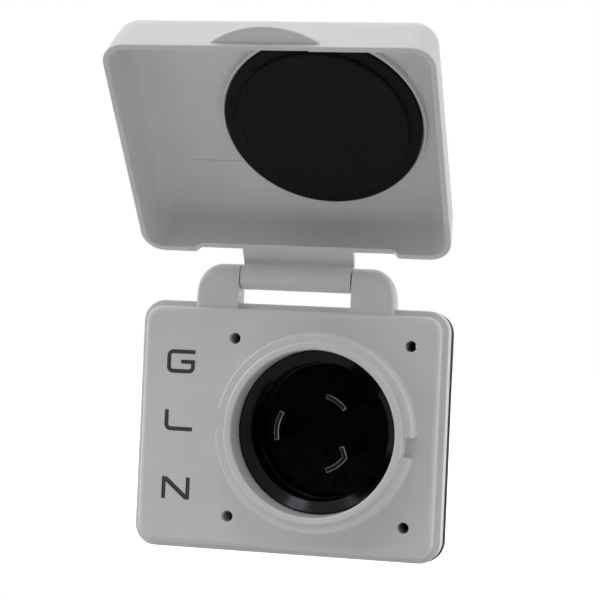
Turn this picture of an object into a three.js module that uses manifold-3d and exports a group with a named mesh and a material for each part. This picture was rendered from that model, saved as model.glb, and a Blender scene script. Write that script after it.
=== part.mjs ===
// Generator inlet box: a hinged weather lid over a recessed three-blade locking inlet.
// Millimetres, +Z up, the front of the box faces -Y, and Y = 0 is the wall it is screwed to.
import * as THREE from 'three';
import { mergeVertices } from 'three/addons/utils/BufferGeometryUtils.js';
import Module from 'manifold-3d';

const wasm = await Module();
wasm.setup();

// ---- driving dimensions -------------------------------------------------------------------
const GAP = 0.3;               // between two pieces that rest on each other
const RUN = 0.4;               // between two pieces that move past each other
const CUT = 1;                 // how far a cutting tool runs past what it cuts

const PLATE_W = 116;           // flange, across
const PLATE_H = 92.4;          // flange, up
const PLATE_T = 12.5;          // flange back to the front face
const PLATE_R = 8;             // flange corners
const LEDGE_W = 2.2;           // ledge that the lid's rim closes onto
const LEDGE_D = 5.6;           // ledge below the front face
const FACE_EDGE_W = 1.2;       // bevel round the front face, across
const FACE_EDGE_D = 1.6;       // the same bevel, in depth
const PLATE_SKIN = 3;          // thickness of the moulded face and of its side walls
const RIB_T = 2;               // stiffening ribs behind the face
const RIB_PITCH = 22;

const GASKET_T = 3.5;          // foam gasket behind the flange
const GASKET_OVER = 0.7;       // how far it shows round the flange
const CUTOUT_OVER = 1.9;       // its hole, beyond the flanges of the inlet's body

const INLET_X = 12;            // inlet's axis, right of the middle of the flange
const SCREW_PITCH = 66;        // square of four mounting screw holes round the inlet
const SCREW_HOLE_R = 2.05;
const BOSS_R = 5;              // boss behind each of those holes

const COLLAR_STEP = 3;         // raised collar, outside the lip
const COLLAR_H = 10.2;
const LIP_WALL = 3.1;          // taller lip inside the collar, round the bore
const LIP_H = 11.5;
const COLLAR_EDGE = 0.8;       // broken edges of collar and lip
const NOTCH_W = 7.7;           // two lock notches in the collar
const NOTCH_TURN = -5.5;       // degrees that the notches are turned from level

const EAR_GAP = 42.6;          // between the two hinge ears
const EAR_SPAN = 75;           // over both ears
const EAR_T = 9.4;             // ear thickness, which is the knuckle's diameter
const EAR_R = 9.5;             // round outer corner of an ear
const EAR_EDGE = 1.8;          // bevel round an ear's front
const HINGE_RISE = 9.9;        // hinge axis above the flange's top edge
const PIN_R = 1.5;
const PIN_SEAT = 11;           // how far the pin runs into each ear
const CATCH_W = 30;            // catch under the face that the lid snaps over
const CATCH_H = 0.6;
const CATCH_T = 1.5;
const CATCH_D = 1.6;           // catch below the front face

const LID_RUN = 0.5;           // lid's rim round the raised face
const LID_WALL = 2.2;
const LID_SKIN = 1.95;         // lid's front
const LID_SHOULDER = 8;        // round edge of the lid's front
const LID_DRAFT = 2;           // how much smaller the lid's front is, each side
const LID_OPEN = 136.5;        // degrees from shut, as it is drawn
const RELIEF_RAMP = 3;         // ends of the cut in the rim that clears the ears
const ARM_T = 3.5;             // web between lid and knuckle
const ARM_ROOT = 6.4;          // how far the web runs up from the lid before the knuckle
const FINGER_W = 37.8;         // finger tab on the lid's free end
const FINGER_H = 6.4;
const FINGER_T = 1.4;
const FINGER_UP = 2;           // tab in front of the rim
const PANEL = { left: -44, right: 44, bottom: -38, top: 19.6, r: 5, rise: 0.4 };

const SEAL_OVER = 2.6;         // rubber disc inside the lid, beyond the inlet's lip
const SEAL_T = 2;
const BEAD_SET = 0.3;          // bead on the disc that meets the lip, out from the bore
const BEAD_H = 1.6;
const BEAD_W = 2.2;
const SEAT_W = 1.2;            // ring round the disc
const SEAT_H = 1.4;

const CUP_ROOM = 11.45;        // between the blades' circle and the inside of the cup
const CUP_RIM_W = 4.35;        // cup's front rim
const CUP_SET = 0.9;           // cup's front edge below the face
const CUP_MOUTH_D = 2.3;       // depth of the cup's sloping mouth
const CUP_FLOOR_T = 2.5;
const REAR_TUBE_OVER = 2.35;   // cup's tube behind its flange, beyond the cup's inside
const REAR_TUBE_WALL = 2.4;
const FLANGE_OVER = 6.3;       // flanges of the cup and of the rear cover, beyond the bore
const FLANGE_T = 3;
const RING_T = 1;              // flat sealing ring between cup and flange

const BLADE_R = 14.2;          // middle of the blades' circle
const BLADE_T = 1.7;
const BLADE_L = 22;            // blade standing in the cup
const TIP_RISE = 6.6;          // blade tips in front of the face
const HOOK_L = 4;              // hooked end of the earth blade
const HOOK_TURN = 110;         // degrees, direction of the hook
const HOOK_BACK = 2;           // degrees, its root back from the end of the blade
const CARRIER_T = 7.5;
const BLOCK_T = 11;
const PAD_END = 4;             // a blade's terminal pad, out beyond its screw
const PAD_LESS = 0.43;         // its width, less than the widest blade's
const PAD_T = 1.6;
const CLAMP_T = 1.5;
const CLAMP_W = 10;

const TERMINAL_SCREW = { shank: 1.9, length: 8.5, head: 3.5, headT: 2.6, slot: 0.9 };
const TERMINAL_SCREW_OUT = 4.2;  // from the blades' circle
const BLOCK_SCREW = { shank: 1.5, length: 17, head: 2.6, headT: 2, slot: 0.8 };
const BLOCK_SCREW_IN = 4.8;    // from the outside of the terminal block
const COVER_SCREW = { shank: 1.45, length: 17, head: 2.6, headT: 2.2, slot: 0.8 };
const COVER_SCREW_IN = 3.1;    // from the outside of the flanges

const COVER_END_Y = 48.5;      // outside of the rear cover's end
const COVER_WALL = 2.2;
const COVER_END_T = 2.5;
const CABLE_R = 7;             // the cable that the box is made for
const GROMMET_WALL = 2.7;
const GROMMET_LIP = 2.6;
const GROMMET_LIP_T = 1.8;
const CLAMP_END = 4.5;         // cable clamp behind the rear cover, beyond its screws
const CLAMP_LONG = 11;
const CLAMP_BAR_T = 5;
const SADDLE_T = 11;
const CLAMP_SCREW = { shank: 1.5, length: 23, head: 2.7, headT: 2.2, slot: 0.8 };
const CLAMP_SCREW_OUT = 5.5;   // from the cable

const ROUND = 36;              // facets of a large circle
const SMALL = 12;              // facets of a screw or a small hole

// ---- planes and centres worked out from them ------------------------------------------------
const BACK_Y = -(GASKET_T + GAP);
const FACE_Y = BACK_Y - PLATE_T;
const LEDGE_Y = FACE_Y + LEDGE_D;
const EAR_Y = BACK_Y - EAR_T;
const HINGE_Y = BACK_Y - EAR_T / 2;
const HINGE_Z = PLATE_H / 2 + HINGE_RISE;
const KNUCKLE_R = EAR_T / 2;
const CUP_R = BLADE_R + CUP_ROOM;
const BORE_R = CUP_R + CUP_RIM_W + GAP;
const LIP_R = BORE_R + LIP_WALL;
const COLLAR_R = LIP_R + COLLAR_STEP;
const SEAL_R = LIP_R + SEAL_OVER;
const BEAD_R = BORE_R + BEAD_SET;
const FLANGE_R = BORE_R + FLANGE_OVER;
const CUTOUT_R = FLANGE_R + CUTOUT_OVER;
const DAIS_W = PLATE_W - 2 * LEDGE_W;
const DAIS_H = PLATE_H - 2 * LEDGE_W;
const DAIS_R = PLATE_R - LEDGE_W;
const RIM_Y = LEDGE_Y - GAP;
const LID_W = DAIS_W + 2 * (LID_RUN + LID_WALL);
const LID_H = DAIS_H + 2 * (LID_RUN + LID_WALL);
const LID_R = DAIS_R + LID_RUN + LID_WALL;
const LIP_Y = FACE_Y - LIP_H;
const SEAL_Y = LIP_Y - GAP - BEAD_H;
const LID_FLOOR_Y = SEAL_Y - SEAL_T - GAP;
const LID_FRONT_Y = LID_FLOOR_Y - LID_SKIN;
const RELIEF_Y = EAR_Y - RUN;
const RELIEF_HALF = EAR_SPAN / 2 - EAR_EDGE;
const CUP_Y = FACE_Y + CUP_SET;
const TIP_Y = FACE_Y - TIP_RISE;
const FLOOR_Y = TIP_Y + BLADE_L;
const FLOOR_BACK_Y = FLOOR_Y + CUP_FLOOR_T;
const RING_Y = BACK_Y + GAP;
const CUP_FLANGE_Y = RING_Y + RING_T + GAP;
const COVER_Y = CUP_FLANGE_Y + FLANGE_T + GAP;
const REAR_TUBE_R = CUP_R + REAR_TUBE_OVER;
const CORE_R = REAR_TUBE_R - REAR_TUBE_WALL - GAP;
const TERMINAL_SCREW_R = BLADE_R + TERMINAL_SCREW_OUT;
const PAD_OUT = TERMINAL_SCREW_R + PAD_END;
const BLOCK_SCREW_R = CORE_R - BLOCK_SCREW_IN;
const COVER_SCREW_R = FLANGE_R - COVER_SCREW_IN;
const CARRIER_Y = FLOOR_BACK_Y + GAP;
const CARRIER_BACK_Y = CARRIER_Y + CARRIER_T;
const BLOCK_Y = CARRIER_BACK_Y + GAP;
const BLOCK_BACK_Y = BLOCK_Y + BLOCK_T;
const COVER_IN_R = REAR_TUBE_R + RUN;
const COVER_OUT_R = COVER_IN_R + COVER_WALL;
const CLAMP_Y = COVER_END_Y + GAP + GROMMET_LIP_T + GAP;
const SADDLE_CUT_R = CABLE_R + GAP;
const CLAMP_SCREW_X = CABLE_R + CLAMP_SCREW_OUT;
const CLAMP_SPAN = 2 * (CLAMP_SCREW_X + CLAMP_END);

// Blades, seen from the front and turning left from the +X side: middle angle and spread.
const BLADES = [
  { name: 'line', angle: 56.9, spread: 34, hook: false },
  { name: 'neutral', angle: 171.3, spread: 43, hook: false },
  { name: 'earth', angle: -52.5, spread: 35, hook: true },
];
const BLOCK_SCREW_ANGLES = [2, 114, 239];
const COVER_SCREW_ANGLES = [45, 135, 225, 315];

const rad = THREE.MathUtils.degToRad;
const WIDEST_BLADE = Math.max(...BLADES.map((blade) => blade.spread));
const PAD_W = (2 * BLADE_R + BLADE_T) * Math.sin(rad(WIDEST_BLADE / 2)) - PAD_LESS;

// ---- solids ------------------------------------------------------------------------------
function signedVolume(at, corners) {
  const p = (i) => new THREE.Vector3(at[3 * i], at[3 * i + 1], at[3 * i + 2]);
  let sum = 0;
  for (let i = 0; i < corners.length; i += 3) {
    sum += p(corners[i]).dot(p(corners[i + 1]).cross(p(corners[i + 2]))) / 6;
  }
  return sum;
}

// A closed three.js geometry as a solid, with its faces pointing out.
function solid(geometry) {
  const bare = new THREE.BufferGeometry();
  bare.setAttribute('position', geometry.getAttribute('position'));
  if (geometry.index) bare.setIndex(geometry.index);
  const merged = mergeVertices(bare, 1e-4);
  const at = new Float32Array(merged.getAttribute('position').array);
  const corners = [];
  for (let i = 0; i < merged.index.count; i += 3) {
    const [a, b, c] = [0, 1, 2].map((k) => merged.index.getX(i + k));
    if (a !== b && b !== c && c !== a) corners.push(a, b, c);
  }
  if (signedVolume(at, corners) < 0) corners.reverse();
  return new wasm.Manifold(new wasm.Mesh({
    numProp: 3, vertProperties: at, triVerts: new Uint32Array(corners),
  }));
}

function unite(parts) {
  return parts.reduce((all, part) => all.add(part));
}

function cutAll(body, tools) {
  return tools.reduce((left, tool) => left.subtract(tool), body);
}

function box(x0, x1, y0, y1, z0, z1) {
  const geometry = new THREE.BoxGeometry(x1 - x0, y1 - y0, z1 - z0);
  return solid(geometry.translate((x0 + x1) / 2, (y0 + y1) / 2, (z0 + z1) / 2));
}

// An outline in X and Z, run from one Y plane to another.
function slab(shape, y0, y1, curveSegments = 6) {
  const depth = Math.abs(y1 - y0);
  const geometry = new THREE.ExtrudeGeometry(shape, { depth, bevelEnabled: false, curveSegments });
  return solid(geometry.rotateX(Math.PI / 2).translate(0, Math.max(y0, y1), 0));
}

// The same, with the edge of its front broken or rounded; bend is applied before it is a solid.
function frontedSlab(shape, backY, frontY, edge, bend = (geometry) => geometry) {
  const depth = backY - frontY - edge.depth + CUT;
  const geometry = new THREE.ExtrudeGeometry(shape, {
    depth, bevelThickness: edge.depth, bevelSize: edge.width, bevelOffset: -edge.width,
    bevelSegments: edge.segments, curveSegments: 5,
  });
  geometry.rotateX(Math.PI / 2).translate(0, backY + CUT, 0);
  const far = 2 * (PLATE_W + PLATE_H);
  return solid(bend(geometry)).subtract(box(-far, far, backY, backY + edge.depth + 3 * CUT, -far, far));
}

// An outline in Y and Z, run along X.
function beam(shape, x0, x1, curveSegments = 10) {
  const geometry = new THREE.ExtrudeGeometry(shape, { depth: x1 - x0, bevelEnabled: false, curveSegments });
  const turn = new THREE.Matrix4().makeBasis(
    new THREE.Vector3(0, 1, 0), new THREE.Vector3(0, 0, 1), new THREE.Vector3(1, 0, 0));
  return solid(geometry.applyMatrix4(turn).translate(x0, 0, 0));
}

// A closed profile of radius and Y, turned about the inlet's axis.
function turned(profile, facets = ROUND) {
  const points = profile.map(([r, y]) => new THREE.Vector2(r, y));
  return solid(new THREE.LatheGeometry(points, facets).translate(INLET_X, 0, 0));
}

function ring(r0, r1, y0, y1) {
  return turned([[r0, y0], [r1, y0], [r1, y1], [r0, y1], [r0, y0]]);
}

// A round rod or hole along Y.
function rodY(x, z, r, y0, y1, facets = SMALL) {
  const geometry = new THREE.CylinderGeometry(r, r, y1 - y0, facets);
  return solid(geometry.translate(x, (y0 + y1) / 2, z));
}

function rodX(y, z, r, x0, x1, facets = SMALL) {
  const geometry = new THREE.CylinderGeometry(r, r, x1 - x0, facets).rotateZ(Math.PI / 2);
  return solid(geometry.translate((x0 + x1) / 2, y, z));
}

function rodZ(x, y, r, z0, z1, facets = SMALL) {
  const geometry = new THREE.CylinderGeometry(r, r, z1 - z0, facets).rotateX(Math.PI / 2);
  return solid(geometry.translate(x, y, (z0 + z1) / 2));
}

// A block out along one of the inlet's radii.
function radialBox(angle, r0, r1, y0, y1, width) {
  const geometry = new THREE.BoxGeometry(r1 - r0, y1 - y0, width);
  geometry.translate((r0 + r1) / 2, (y0 + y1) / 2, 0).rotateY(-rad(angle));
  return solid(geometry.translate(INLET_X, 0, 0));
}

function onCircle(r, angle) {
  return [INLET_X + r * Math.cos(rad(angle)), r * Math.sin(rad(angle))];
}

function roundedRect(width, height, r, cx = 0, cz = 0) {
  const [x, z] = [width / 2 - r, height / 2 - r];
  const shape = new THREE.Shape();
  shape.absarc(cx + x, cz + z, r, 0, Math.PI / 2);
  shape.absarc(cx - x, cz + z, r, Math.PI / 2, Math.PI);
  shape.absarc(cx - x, cz - z, r, Math.PI, 1.5 * Math.PI);
  shape.absarc(cx + x, cz - z, r, 1.5 * Math.PI, 2 * Math.PI);
  shape.closePath();
  return shape;
}

function mirroredX(body) {
  return body.mirror([1, 0, 0]);
}

// ---- flange ------------------------------------------------------------------------------
function screwCentres() {
  const half = SCREW_PITCH / 2;
  return [[-half, half], [half, half], [-half, -half], [half, -half]].map(([x, z]) => [INLET_X + x, z]);
}

// The right hinge ear: its top is round about the hinge axis, as the knuckle is.
function ear() {
  const [inner, outer] = [EAR_GAP / 2, EAR_SPAN / 2];
  const top = HINGE_Z + KNUCKLE_R;
  const shape = new THREE.Shape();
  const foot = DAIS_H / 2 - CUT;
  shape.moveTo(inner, foot).lineTo(outer, foot).lineTo(outer, top - EAR_R);
  shape.absarc(outer - EAR_R, top - EAR_R, EAR_R, 0, Math.PI / 2);
  shape.lineTo(inner, top).closePath();
  const side = new THREE.Shape();
  side.moveTo(EAR_Y, foot - CUT).lineTo(BACK_Y, foot - CUT).lineTo(BACK_Y, HINGE_Z);
  side.absarc(HINGE_Y, HINGE_Z, KNUCKLE_R, 0, Math.PI);
  side.closePath();
  const edge = { width: EAR_EDGE, depth: EAR_EDGE, segments: 3 };
  const square = box(inner, inner + EAR_R, EAR_Y, BACK_Y, foot, top);
  const block = frontedSlab(shape, BACK_Y, EAR_Y, edge).add(square);
  return block.intersect(beam(side, inner, outer));
}

function collar() {
  const e = COLLAR_EDGE;
  const [top, lip] = [FACE_Y - COLLAR_H, LIP_Y];
  return turned([
    [BORE_R, BACK_Y], [COLLAR_R, BACK_Y], [COLLAR_R, top + e], [COLLAR_R - e, top], [LIP_R, top],
    [LIP_R, lip + e], [LIP_R - e, lip], [BORE_R + e, lip], [BORE_R, lip + e], [BORE_R, BACK_Y],
  ]);
}

function collarNotches() {
  return [0, 180].map((turn) => radialBox(
    NOTCH_TURN + turn, LIP_R, COLLAR_R + CUT, FACE_Y - COLLAR_H - CUT, FACE_Y, NOTCH_W));
}

function catchLedge() {
  const y = FACE_Y + CATCH_D;
  const z = -DAIS_H / 2;
  return box(-CATCH_W / 2, CATCH_W / 2, y, y + CATCH_T, z - CATCH_H, z + CUT);
}

// The hollow behind the face, with the collar, bosses and ribs left standing in it.
function flangeHollow() {
  const inset = LEDGE_W + FACE_EDGE_W + PLATE_SKIN;
  const shape = roundedRect(PLATE_W - 2 * inset, PLATE_H - 2 * inset, PLATE_R - LEDGE_W);
  const hollow = slab(shape, FACE_Y + PLATE_SKIN, BACK_Y + CUT, 4);
  const keep = [rodY(INLET_X, 0, COLLAR_R, FACE_Y, BACK_Y + 2 * CUT, ROUND)];
  for (const [x, z] of screwCentres()) keep.push(rodY(x, z, BOSS_R, FACE_Y, BACK_Y + 2 * CUT));
  for (const z of [-RIB_PITCH, 0, RIB_PITCH]) {
    keep.push(box(-PLATE_W / 2, INLET_X - BORE_R, FACE_Y, BACK_Y + 2 * CUT, z - RIB_T / 2, z + RIB_T / 2));
  }
  return cutAll(hollow, keep);
}

function pinHole() {
  const r = PIN_R + GAP;
  const seat = EAR_GAP / 2 + PIN_SEAT + GAP;
  return rodX(HINGE_Y, HINGE_Z, r, -EAR_SPAN / 2 - CUT, seat);
}

function basePlate() {
  const flange = slab(roundedRect(PLATE_W, PLATE_H, PLATE_R), BACK_Y, LEDGE_Y);
  const edge = { width: FACE_EDGE_W, depth: FACE_EDGE_D, segments: 2 };
  const dais = frontedSlab(roundedRect(DAIS_W, DAIS_H, DAIS_R), LEDGE_Y + CUT, FACE_Y, edge);
  const body = unite([flange, dais, collar(), ear(), mirroredX(ear()), catchLedge()]);
  const tools = [
    rodY(INLET_X, 0, BORE_R, FACE_Y - CUT, BACK_Y + CUT, ROUND),
    flangeHollow(), pinHole(), ...collarNotches(),
  ];
  for (const [x, z] of screwCentres()) {
    tools.push(rodY(x, z, SCREW_HOLE_R, FACE_Y - CUT, BACK_Y + CUT));
  }
  for (const angle of COVER_SCREW_ANGLES) {
    const [x, z] = onCircle(COVER_SCREW_R, angle);
    const tip = COVER_Y + FLANGE_T + GAP - COVER_SCREW.length - GAP;
    tools.push(rodY(x, z, COVER_SCREW.shank + GAP, tip, BACK_Y + CUT));
  }
  return cutAll(body, tools);
}

function mountingGasket() {
  const over = GASKET_OVER;
  const panel = roundedRect(PLATE_W + 2 * over, PLATE_H + 2 * over, PLATE_R + over);
  const top = HINGE_Z + KNUCKLE_R - EAR_EDGE;
  const foot = PLATE_H / 2 - PLATE_R;
  const width = (EAR_SPAN - EAR_GAP) / 2;
  const middle = (EAR_SPAN + EAR_GAP) / 4;
  const tab = roundedRect(width, top - foot, EAR_R - EAR_EDGE, middle, (top + foot) / 2);
  const tabFoot = box(EAR_GAP / 2, EAR_SPAN / 2, -GASKET_T, 0, foot, top - EAR_R);
  const right = slab(tab, -GASKET_T, 0).add(tabFoot);
  const body = unite([slab(panel, -GASKET_T, 0), right, mirroredX(right)]);
  const tools = [rodY(INLET_X, 0, CUTOUT_R, -GASKET_T - CUT, CUT, ROUND)];
  for (const [x, z] of screwCentres()) tools.push(rodY(x, z, SCREW_HOLE_R + RUN, -GASKET_T - CUT, CUT));
  return cutAll(body, tools);
}

// ---- lid, drawn shut --------------------------------------------------------------------------
// Sides lean in towards the front by the draft.
function drafted(geometry) {
  const at = geometry.getAttribute('position');
  for (let i = 0; i < at.count; i += 1) {
    const share = Math.min((RIM_Y - at.getY(i)) / (RIM_Y - LID_FRONT_Y), 1);
    at.setX(i, at.getX(i) * (1 - (2 * LID_DRAFT * share) / LID_W));
    at.setZ(i, at.getZ(i) * (1 - (2 * LID_DRAFT * share) / LID_H));
  }
  return geometry;
}

function lidShell() {
  const shoulder = { width: LID_SHOULDER, depth: LID_SHOULDER, segments: 4 };
  const inside = { width: LID_SHOULDER - LID_SKIN, depth: LID_SHOULDER - LID_SKIN, segments: 3 };
  const outer = frontedSlab(roundedRect(LID_W, LID_H, LID_R), RIM_Y, LID_FRONT_Y, shoulder, drafted);
  const [w, h] = [LID_W - 2 * LID_WALL, LID_H - 2 * LID_WALL];
  const inner = frontedSlab(roundedRect(w, h, LID_R - LID_WALL), RIM_Y + CUT, LID_FLOOR_Y, inside, drafted);
  const panel = roundedRect(PANEL.right - PANEL.left, PANEL.top - PANEL.bottom, PANEL.r,
    (PANEL.left + PANEL.right) / 2, (PANEL.bottom + PANEL.top) / 2);
  const raised = slab(panel, LID_FRONT_Y - PANEL.rise, LID_FLOOR_Y - GAP, 4);
  const sunk = slab(panel, LID_FLOOR_Y - PANEL.rise, LID_FLOOR_Y + CUT, 4);
  return cutAll(outer.add(raised), [inner, sunk]);
}

function sealSeat() {
  const r = SEAL_R + RUN;
  return ring(r, r + SEAT_W, LID_FLOOR_Y - PANEL.rise - GAP, LID_FLOOR_Y + SEAT_H);
}

// The rim is cut back where the ears stand in front of the ledge.
function earRelief() {
  const half = RELIEF_HALF + 2 * RUN;
  const shape = new THREE.Shape();
  shape.moveTo(-half, RELIEF_Y).lineTo(half, RELIEF_Y).lineTo(half + RELIEF_RAMP, RIM_Y + CUT);
  shape.lineTo(-half - RELIEF_RAMP, RIM_Y + CUT).closePath();
  const inside = LID_H / 2 - LID_WALL - CUT;
  const depth = LID_WALL + 2 * CUT;
  const geometry = new THREE.ExtrudeGeometry(shape, { depth, bevelEnabled: false });
  return solid(geometry.translate(0, 0, inside));
}

// A web out of the lid's hinge side, and the knuckle at its end.
function hingeArm() {
  const wall = LID_H / 2 - LID_WALL / 2;
  const root = LID_H / 2 + ARM_ROOT;
  const half = EAR_GAP / 2 - RUN;
  const slope = Math.PI * 0.75;
  const shape = new THREE.Shape();
  shape.moveTo(RELIEF_Y, wall).lineTo(RELIEF_Y, root);
  shape.lineTo(HINGE_Y - Math.sqrt(KNUCKLE_R ** 2 - (HINGE_Z - root) ** 2), root);
  shape.lineTo(HINGE_Y, HINGE_Z);
  shape.lineTo(HINGE_Y + KNUCKLE_R * Math.cos(slope), HINGE_Z + KNUCKLE_R * Math.sin(slope));
  shape.lineTo(RELIEF_Y - ARM_T, root - ARM_T / 2).lineTo(RELIEF_Y - ARM_T, wall).closePath();
  return beam(shape, -half, half).add(rodX(HINGE_Y, HINGE_Z, KNUCKLE_R, -half, half, 2 * SMALL));
}

// A round-ended tab out of the free end, so that a finger can lift the lid.
function fingerTab() {
  const wall = -LID_H / 2;
  const r = (FINGER_W ** 2 / 4 + FINGER_H ** 2) / (2 * FINGER_H);
  const half = Math.asin(FINGER_W / 2 / r);
  const shape = new THREE.Shape();
  shape.absarc(0, wall - FINGER_H + r, r, -Math.PI / 2 - half, -Math.PI / 2 + half);
  shape.lineTo(FINGER_W / 2, wall + LID_WALL / 2).lineTo(-FINGER_W / 2, wall + LID_WALL / 2).closePath();
  return slab(shape, RIM_Y - FINGER_UP, RIM_Y - FINGER_UP - FINGER_T, 16);
}

function catchRelief() {
  const half = CATCH_W / 2 + RUN;
  const z = -LID_H / 2 + LID_WALL;
  return box(-half, half, FACE_Y + CATCH_D - RUN, RIM_Y + CUT, z - CATCH_H, z + CUT);
}

function lid() {
  const sealRoom = rodY(INLET_X, 0, SEAL_R + RUN, LID_FLOOR_Y + GAP / 2, SEAL_Y, ROUND);
  const shell = cutAll(lidShell().add(sealSeat()), [sealRoom, earRelief(), catchRelief()]);
  const half = EAR_GAP / 2;
  return unite([shell, hingeArm(), fingerTab()]).subtract(rodX(HINGE_Y, HINGE_Z, PIN_R + GAP, -half, half));
}

function lidSeal() {
  const back = SEAL_Y - SEAL_T;
  return turned([
    [0, SEAL_Y], [BEAD_R - BEAD_W / 2, SEAL_Y], [BEAD_R - BEAD_W / 4, SEAL_Y + BEAD_H],
    [BEAD_R + BEAD_W / 4, SEAL_Y + BEAD_H], [BEAD_R + BEAD_W / 2, SEAL_Y],
    [SEAL_R - BEAD_W / 4, SEAL_Y], [SEAL_R, SEAL_Y - BEAD_W / 4], [SEAL_R, back], [0, back],
  ]);
}

function hingePin() {
  const seat = EAR_GAP / 2 + PIN_SEAT;
  return rodX(HINGE_Y, HINGE_Z, PIN_R, -seat, seat);
}

// ---- screws -----------------------------------------------------------------------------------
// A slotted screw along Y, its head's underside at y, driven towards -Y.
function screwY(size, x, z, y) {
  const head = rodY(x, z, size.head, y, y + size.headT);
  const shank = rodY(x, z, size.shank, y - size.length, y + size.headT / 2);
  const deep = y + size.headT * 0.55;
  const slot = box(x - size.head - CUT, x + size.head + CUT, deep, y + size.headT + CUT,
    z - size.slot / 2, z + size.slot / 2);
  return head.add(shank).subtract(slot);
}

function screwZ(size, x, y, z) {
  const head = rodZ(x, y, size.head, z, z + size.headT);
  const shank = rodZ(x, y, size.shank, z - size.length, z + size.headT / 2);
  const deep = z + size.headT * 0.55;
  const slot = box(x - size.head - CUT, x + size.head + CUT, y - size.slot / 2, y + size.slot / 2,
    deep, z + size.headT + CUT);
  return head.add(shank).subtract(slot);
}

// ---- blades and their terminals --------------------------------------------------------------
// A blade's curved section, grown all round by the clearance, run between two planes.
function bladeArc(blade, grow, y0, y1) {
  const [r0, r1] = [BLADE_R - BLADE_T / 2 - grow, BLADE_R + BLADE_T / 2 + grow];
  const half = rad(blade.spread / 2) + grow / BLADE_R;
  const middle = rad(blade.angle);
  const shape = new THREE.Shape();
  shape.absarc(INLET_X, 0, r1, middle - half, middle + half);
  shape.absarc(INLET_X, 0, r0, middle + half, middle - half, true);
  shape.closePath();
  return slab(shape, y0, y1);
}

// The same with the hook that the earth blade has at one end.
function bladeBar(blade, grow, y0, y1) {
  const arc = bladeArc(blade, grow, y0, y1);
  if (!blade.hook) return arc;
  const [x, z] = onCircle(BLADE_R, blade.angle + blade.spread / 2 - HOOK_BACK);
  const arm = new THREE.BoxGeometry(HOOK_L + 2 * grow, y1 - y0, BLADE_T + 2 * grow);
  arm.translate(HOOK_L / 2, (y0 + y1) / 2, 0).rotateY(-rad(HOOK_TURN)).translate(x, 0, z);
  return arc.add(solid(arm));
}

// Nearest that a blade's section comes to the axis along its own middle radius.
function padInner(blade) {
  return (BLADE_R - BLADE_T / 2) * Math.cos(rad(blade.spread / 2));
}

function terminalHole(blade, r, y0, y1) {
  const [x, z] = onCircle(TERMINAL_SCREW_R, blade.angle);
  return rodY(x, z, r, y0, y1);
}

function bladePiece(blade) {
  const bar = bladeBar(blade, 0, TIP_Y, FLOOR_BACK_Y);
  const tail = bladeArc(blade, 0, FLOOR_Y, BLOCK_Y + PAD_T);
  const pad = radialBox(blade.angle, padInner(blade), PAD_OUT, BLOCK_Y, BLOCK_Y + PAD_T, PAD_W);
  const hole = terminalHole(blade, TERMINAL_SCREW.shank + GAP, BLOCK_Y - CUT, BLOCK_Y + PAD_T + CUT);
  return unite([bar, tail, pad]).subtract(hole);
}

function clampPlate(blade) {
  const y = BLOCK_Y + PAD_T + GAP;
  const plate = radialBox(blade.angle, BLADE_R, PAD_OUT, y, y + CLAMP_T, CLAMP_W);
  return plate.subtract(terminalHole(blade, TERMINAL_SCREW.shank + GAP, y - CUT, y + CLAMP_T + CUT));
}

function terminalScrew(blade) {
  const [x, z] = onCircle(TERMINAL_SCREW_R, blade.angle);
  return screwY(TERMINAL_SCREW, x, z, BLOCK_Y + PAD_T + GAP + CLAMP_T + GAP);
}

// ---- inlet body ---------------------------------------------------------------------------
function inletShell() {
  const r = BORE_R - GAP;
  const inner = REAR_TUBE_R - REAR_TUBE_WALL;
  const flangeBack = CUP_FLANGE_Y + FLANGE_T;
  const body = turned([
    [0, FLOOR_BACK_Y], [inner, FLOOR_BACK_Y], [inner, BLOCK_BACK_Y + CUT],
    [REAR_TUBE_R, BLOCK_BACK_Y + CUT], [REAR_TUBE_R, flangeBack], [FLANGE_R, flangeBack],
    [FLANGE_R, CUP_FLANGE_Y], [r, CUP_FLANGE_Y], [r, CUP_Y], [r - COLLAR_EDGE / 2, CUP_Y],
    [CUP_R, CUP_Y + CUP_MOUTH_D], [CUP_R, FLOOR_Y], [0, FLOOR_Y],
  ]);
  const slots = BLADES.map((blade) => bladeBar(blade, GAP, FLOOR_Y - CUT, FLOOR_BACK_Y + CUT));
  return cutAll(body, [...slots, ...coverScrewHoles(CUP_FLANGE_Y - CUT, flangeBack + CUT)]);
}

function coverScrewHoles(y0, y1) {
  return COVER_SCREW_ANGLES.map((angle) => {
    const [x, z] = onCircle(COVER_SCREW_R, angle);
    return rodY(x, z, COVER_SCREW.shank + GAP, y0, y1);
  });
}

function blockScrewHoles(y0, y1) {
  return BLOCK_SCREW_ANGLES.map((angle) => {
    const [x, z] = onCircle(BLOCK_SCREW_R, angle);
    return rodY(x, z, BLOCK_SCREW.shank + GAP, y0, y1);
  });
}

function sealingRing() {
  const body = ring(BORE_R, FLANGE_R, RING_Y, RING_Y + RING_T);
  return cutAll(body, coverScrewHoles(RING_Y - CUT, RING_Y + RING_T + CUT));
}

function contactCarrier() {
  const body = rodY(INLET_X, 0, CORE_R, CARRIER_Y, CARRIER_BACK_Y, ROUND);
  const slots = BLADES.map((blade) => bladeBar(blade, GAP, CARRIER_Y - CUT, CARRIER_BACK_Y + CUT));
  const headY = BLOCK_Y + PAD_T + GAP + CLAMP_T + GAP;
  const screwEnd = headY - TERMINAL_SCREW.length - GAP;
  const wells = BLADES.map((blade) => terminalHole(
    blade, TERMINAL_SCREW.shank + GAP, screwEnd, CARRIER_BACK_Y + CUT));
  const blockEnd = BLOCK_BACK_Y + GAP - BLOCK_SCREW.length - GAP;
  return cutAll(body, [...slots, ...wells, ...blockScrewHoles(blockEnd, CARRIER_BACK_Y + CUT)]);
}

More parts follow.
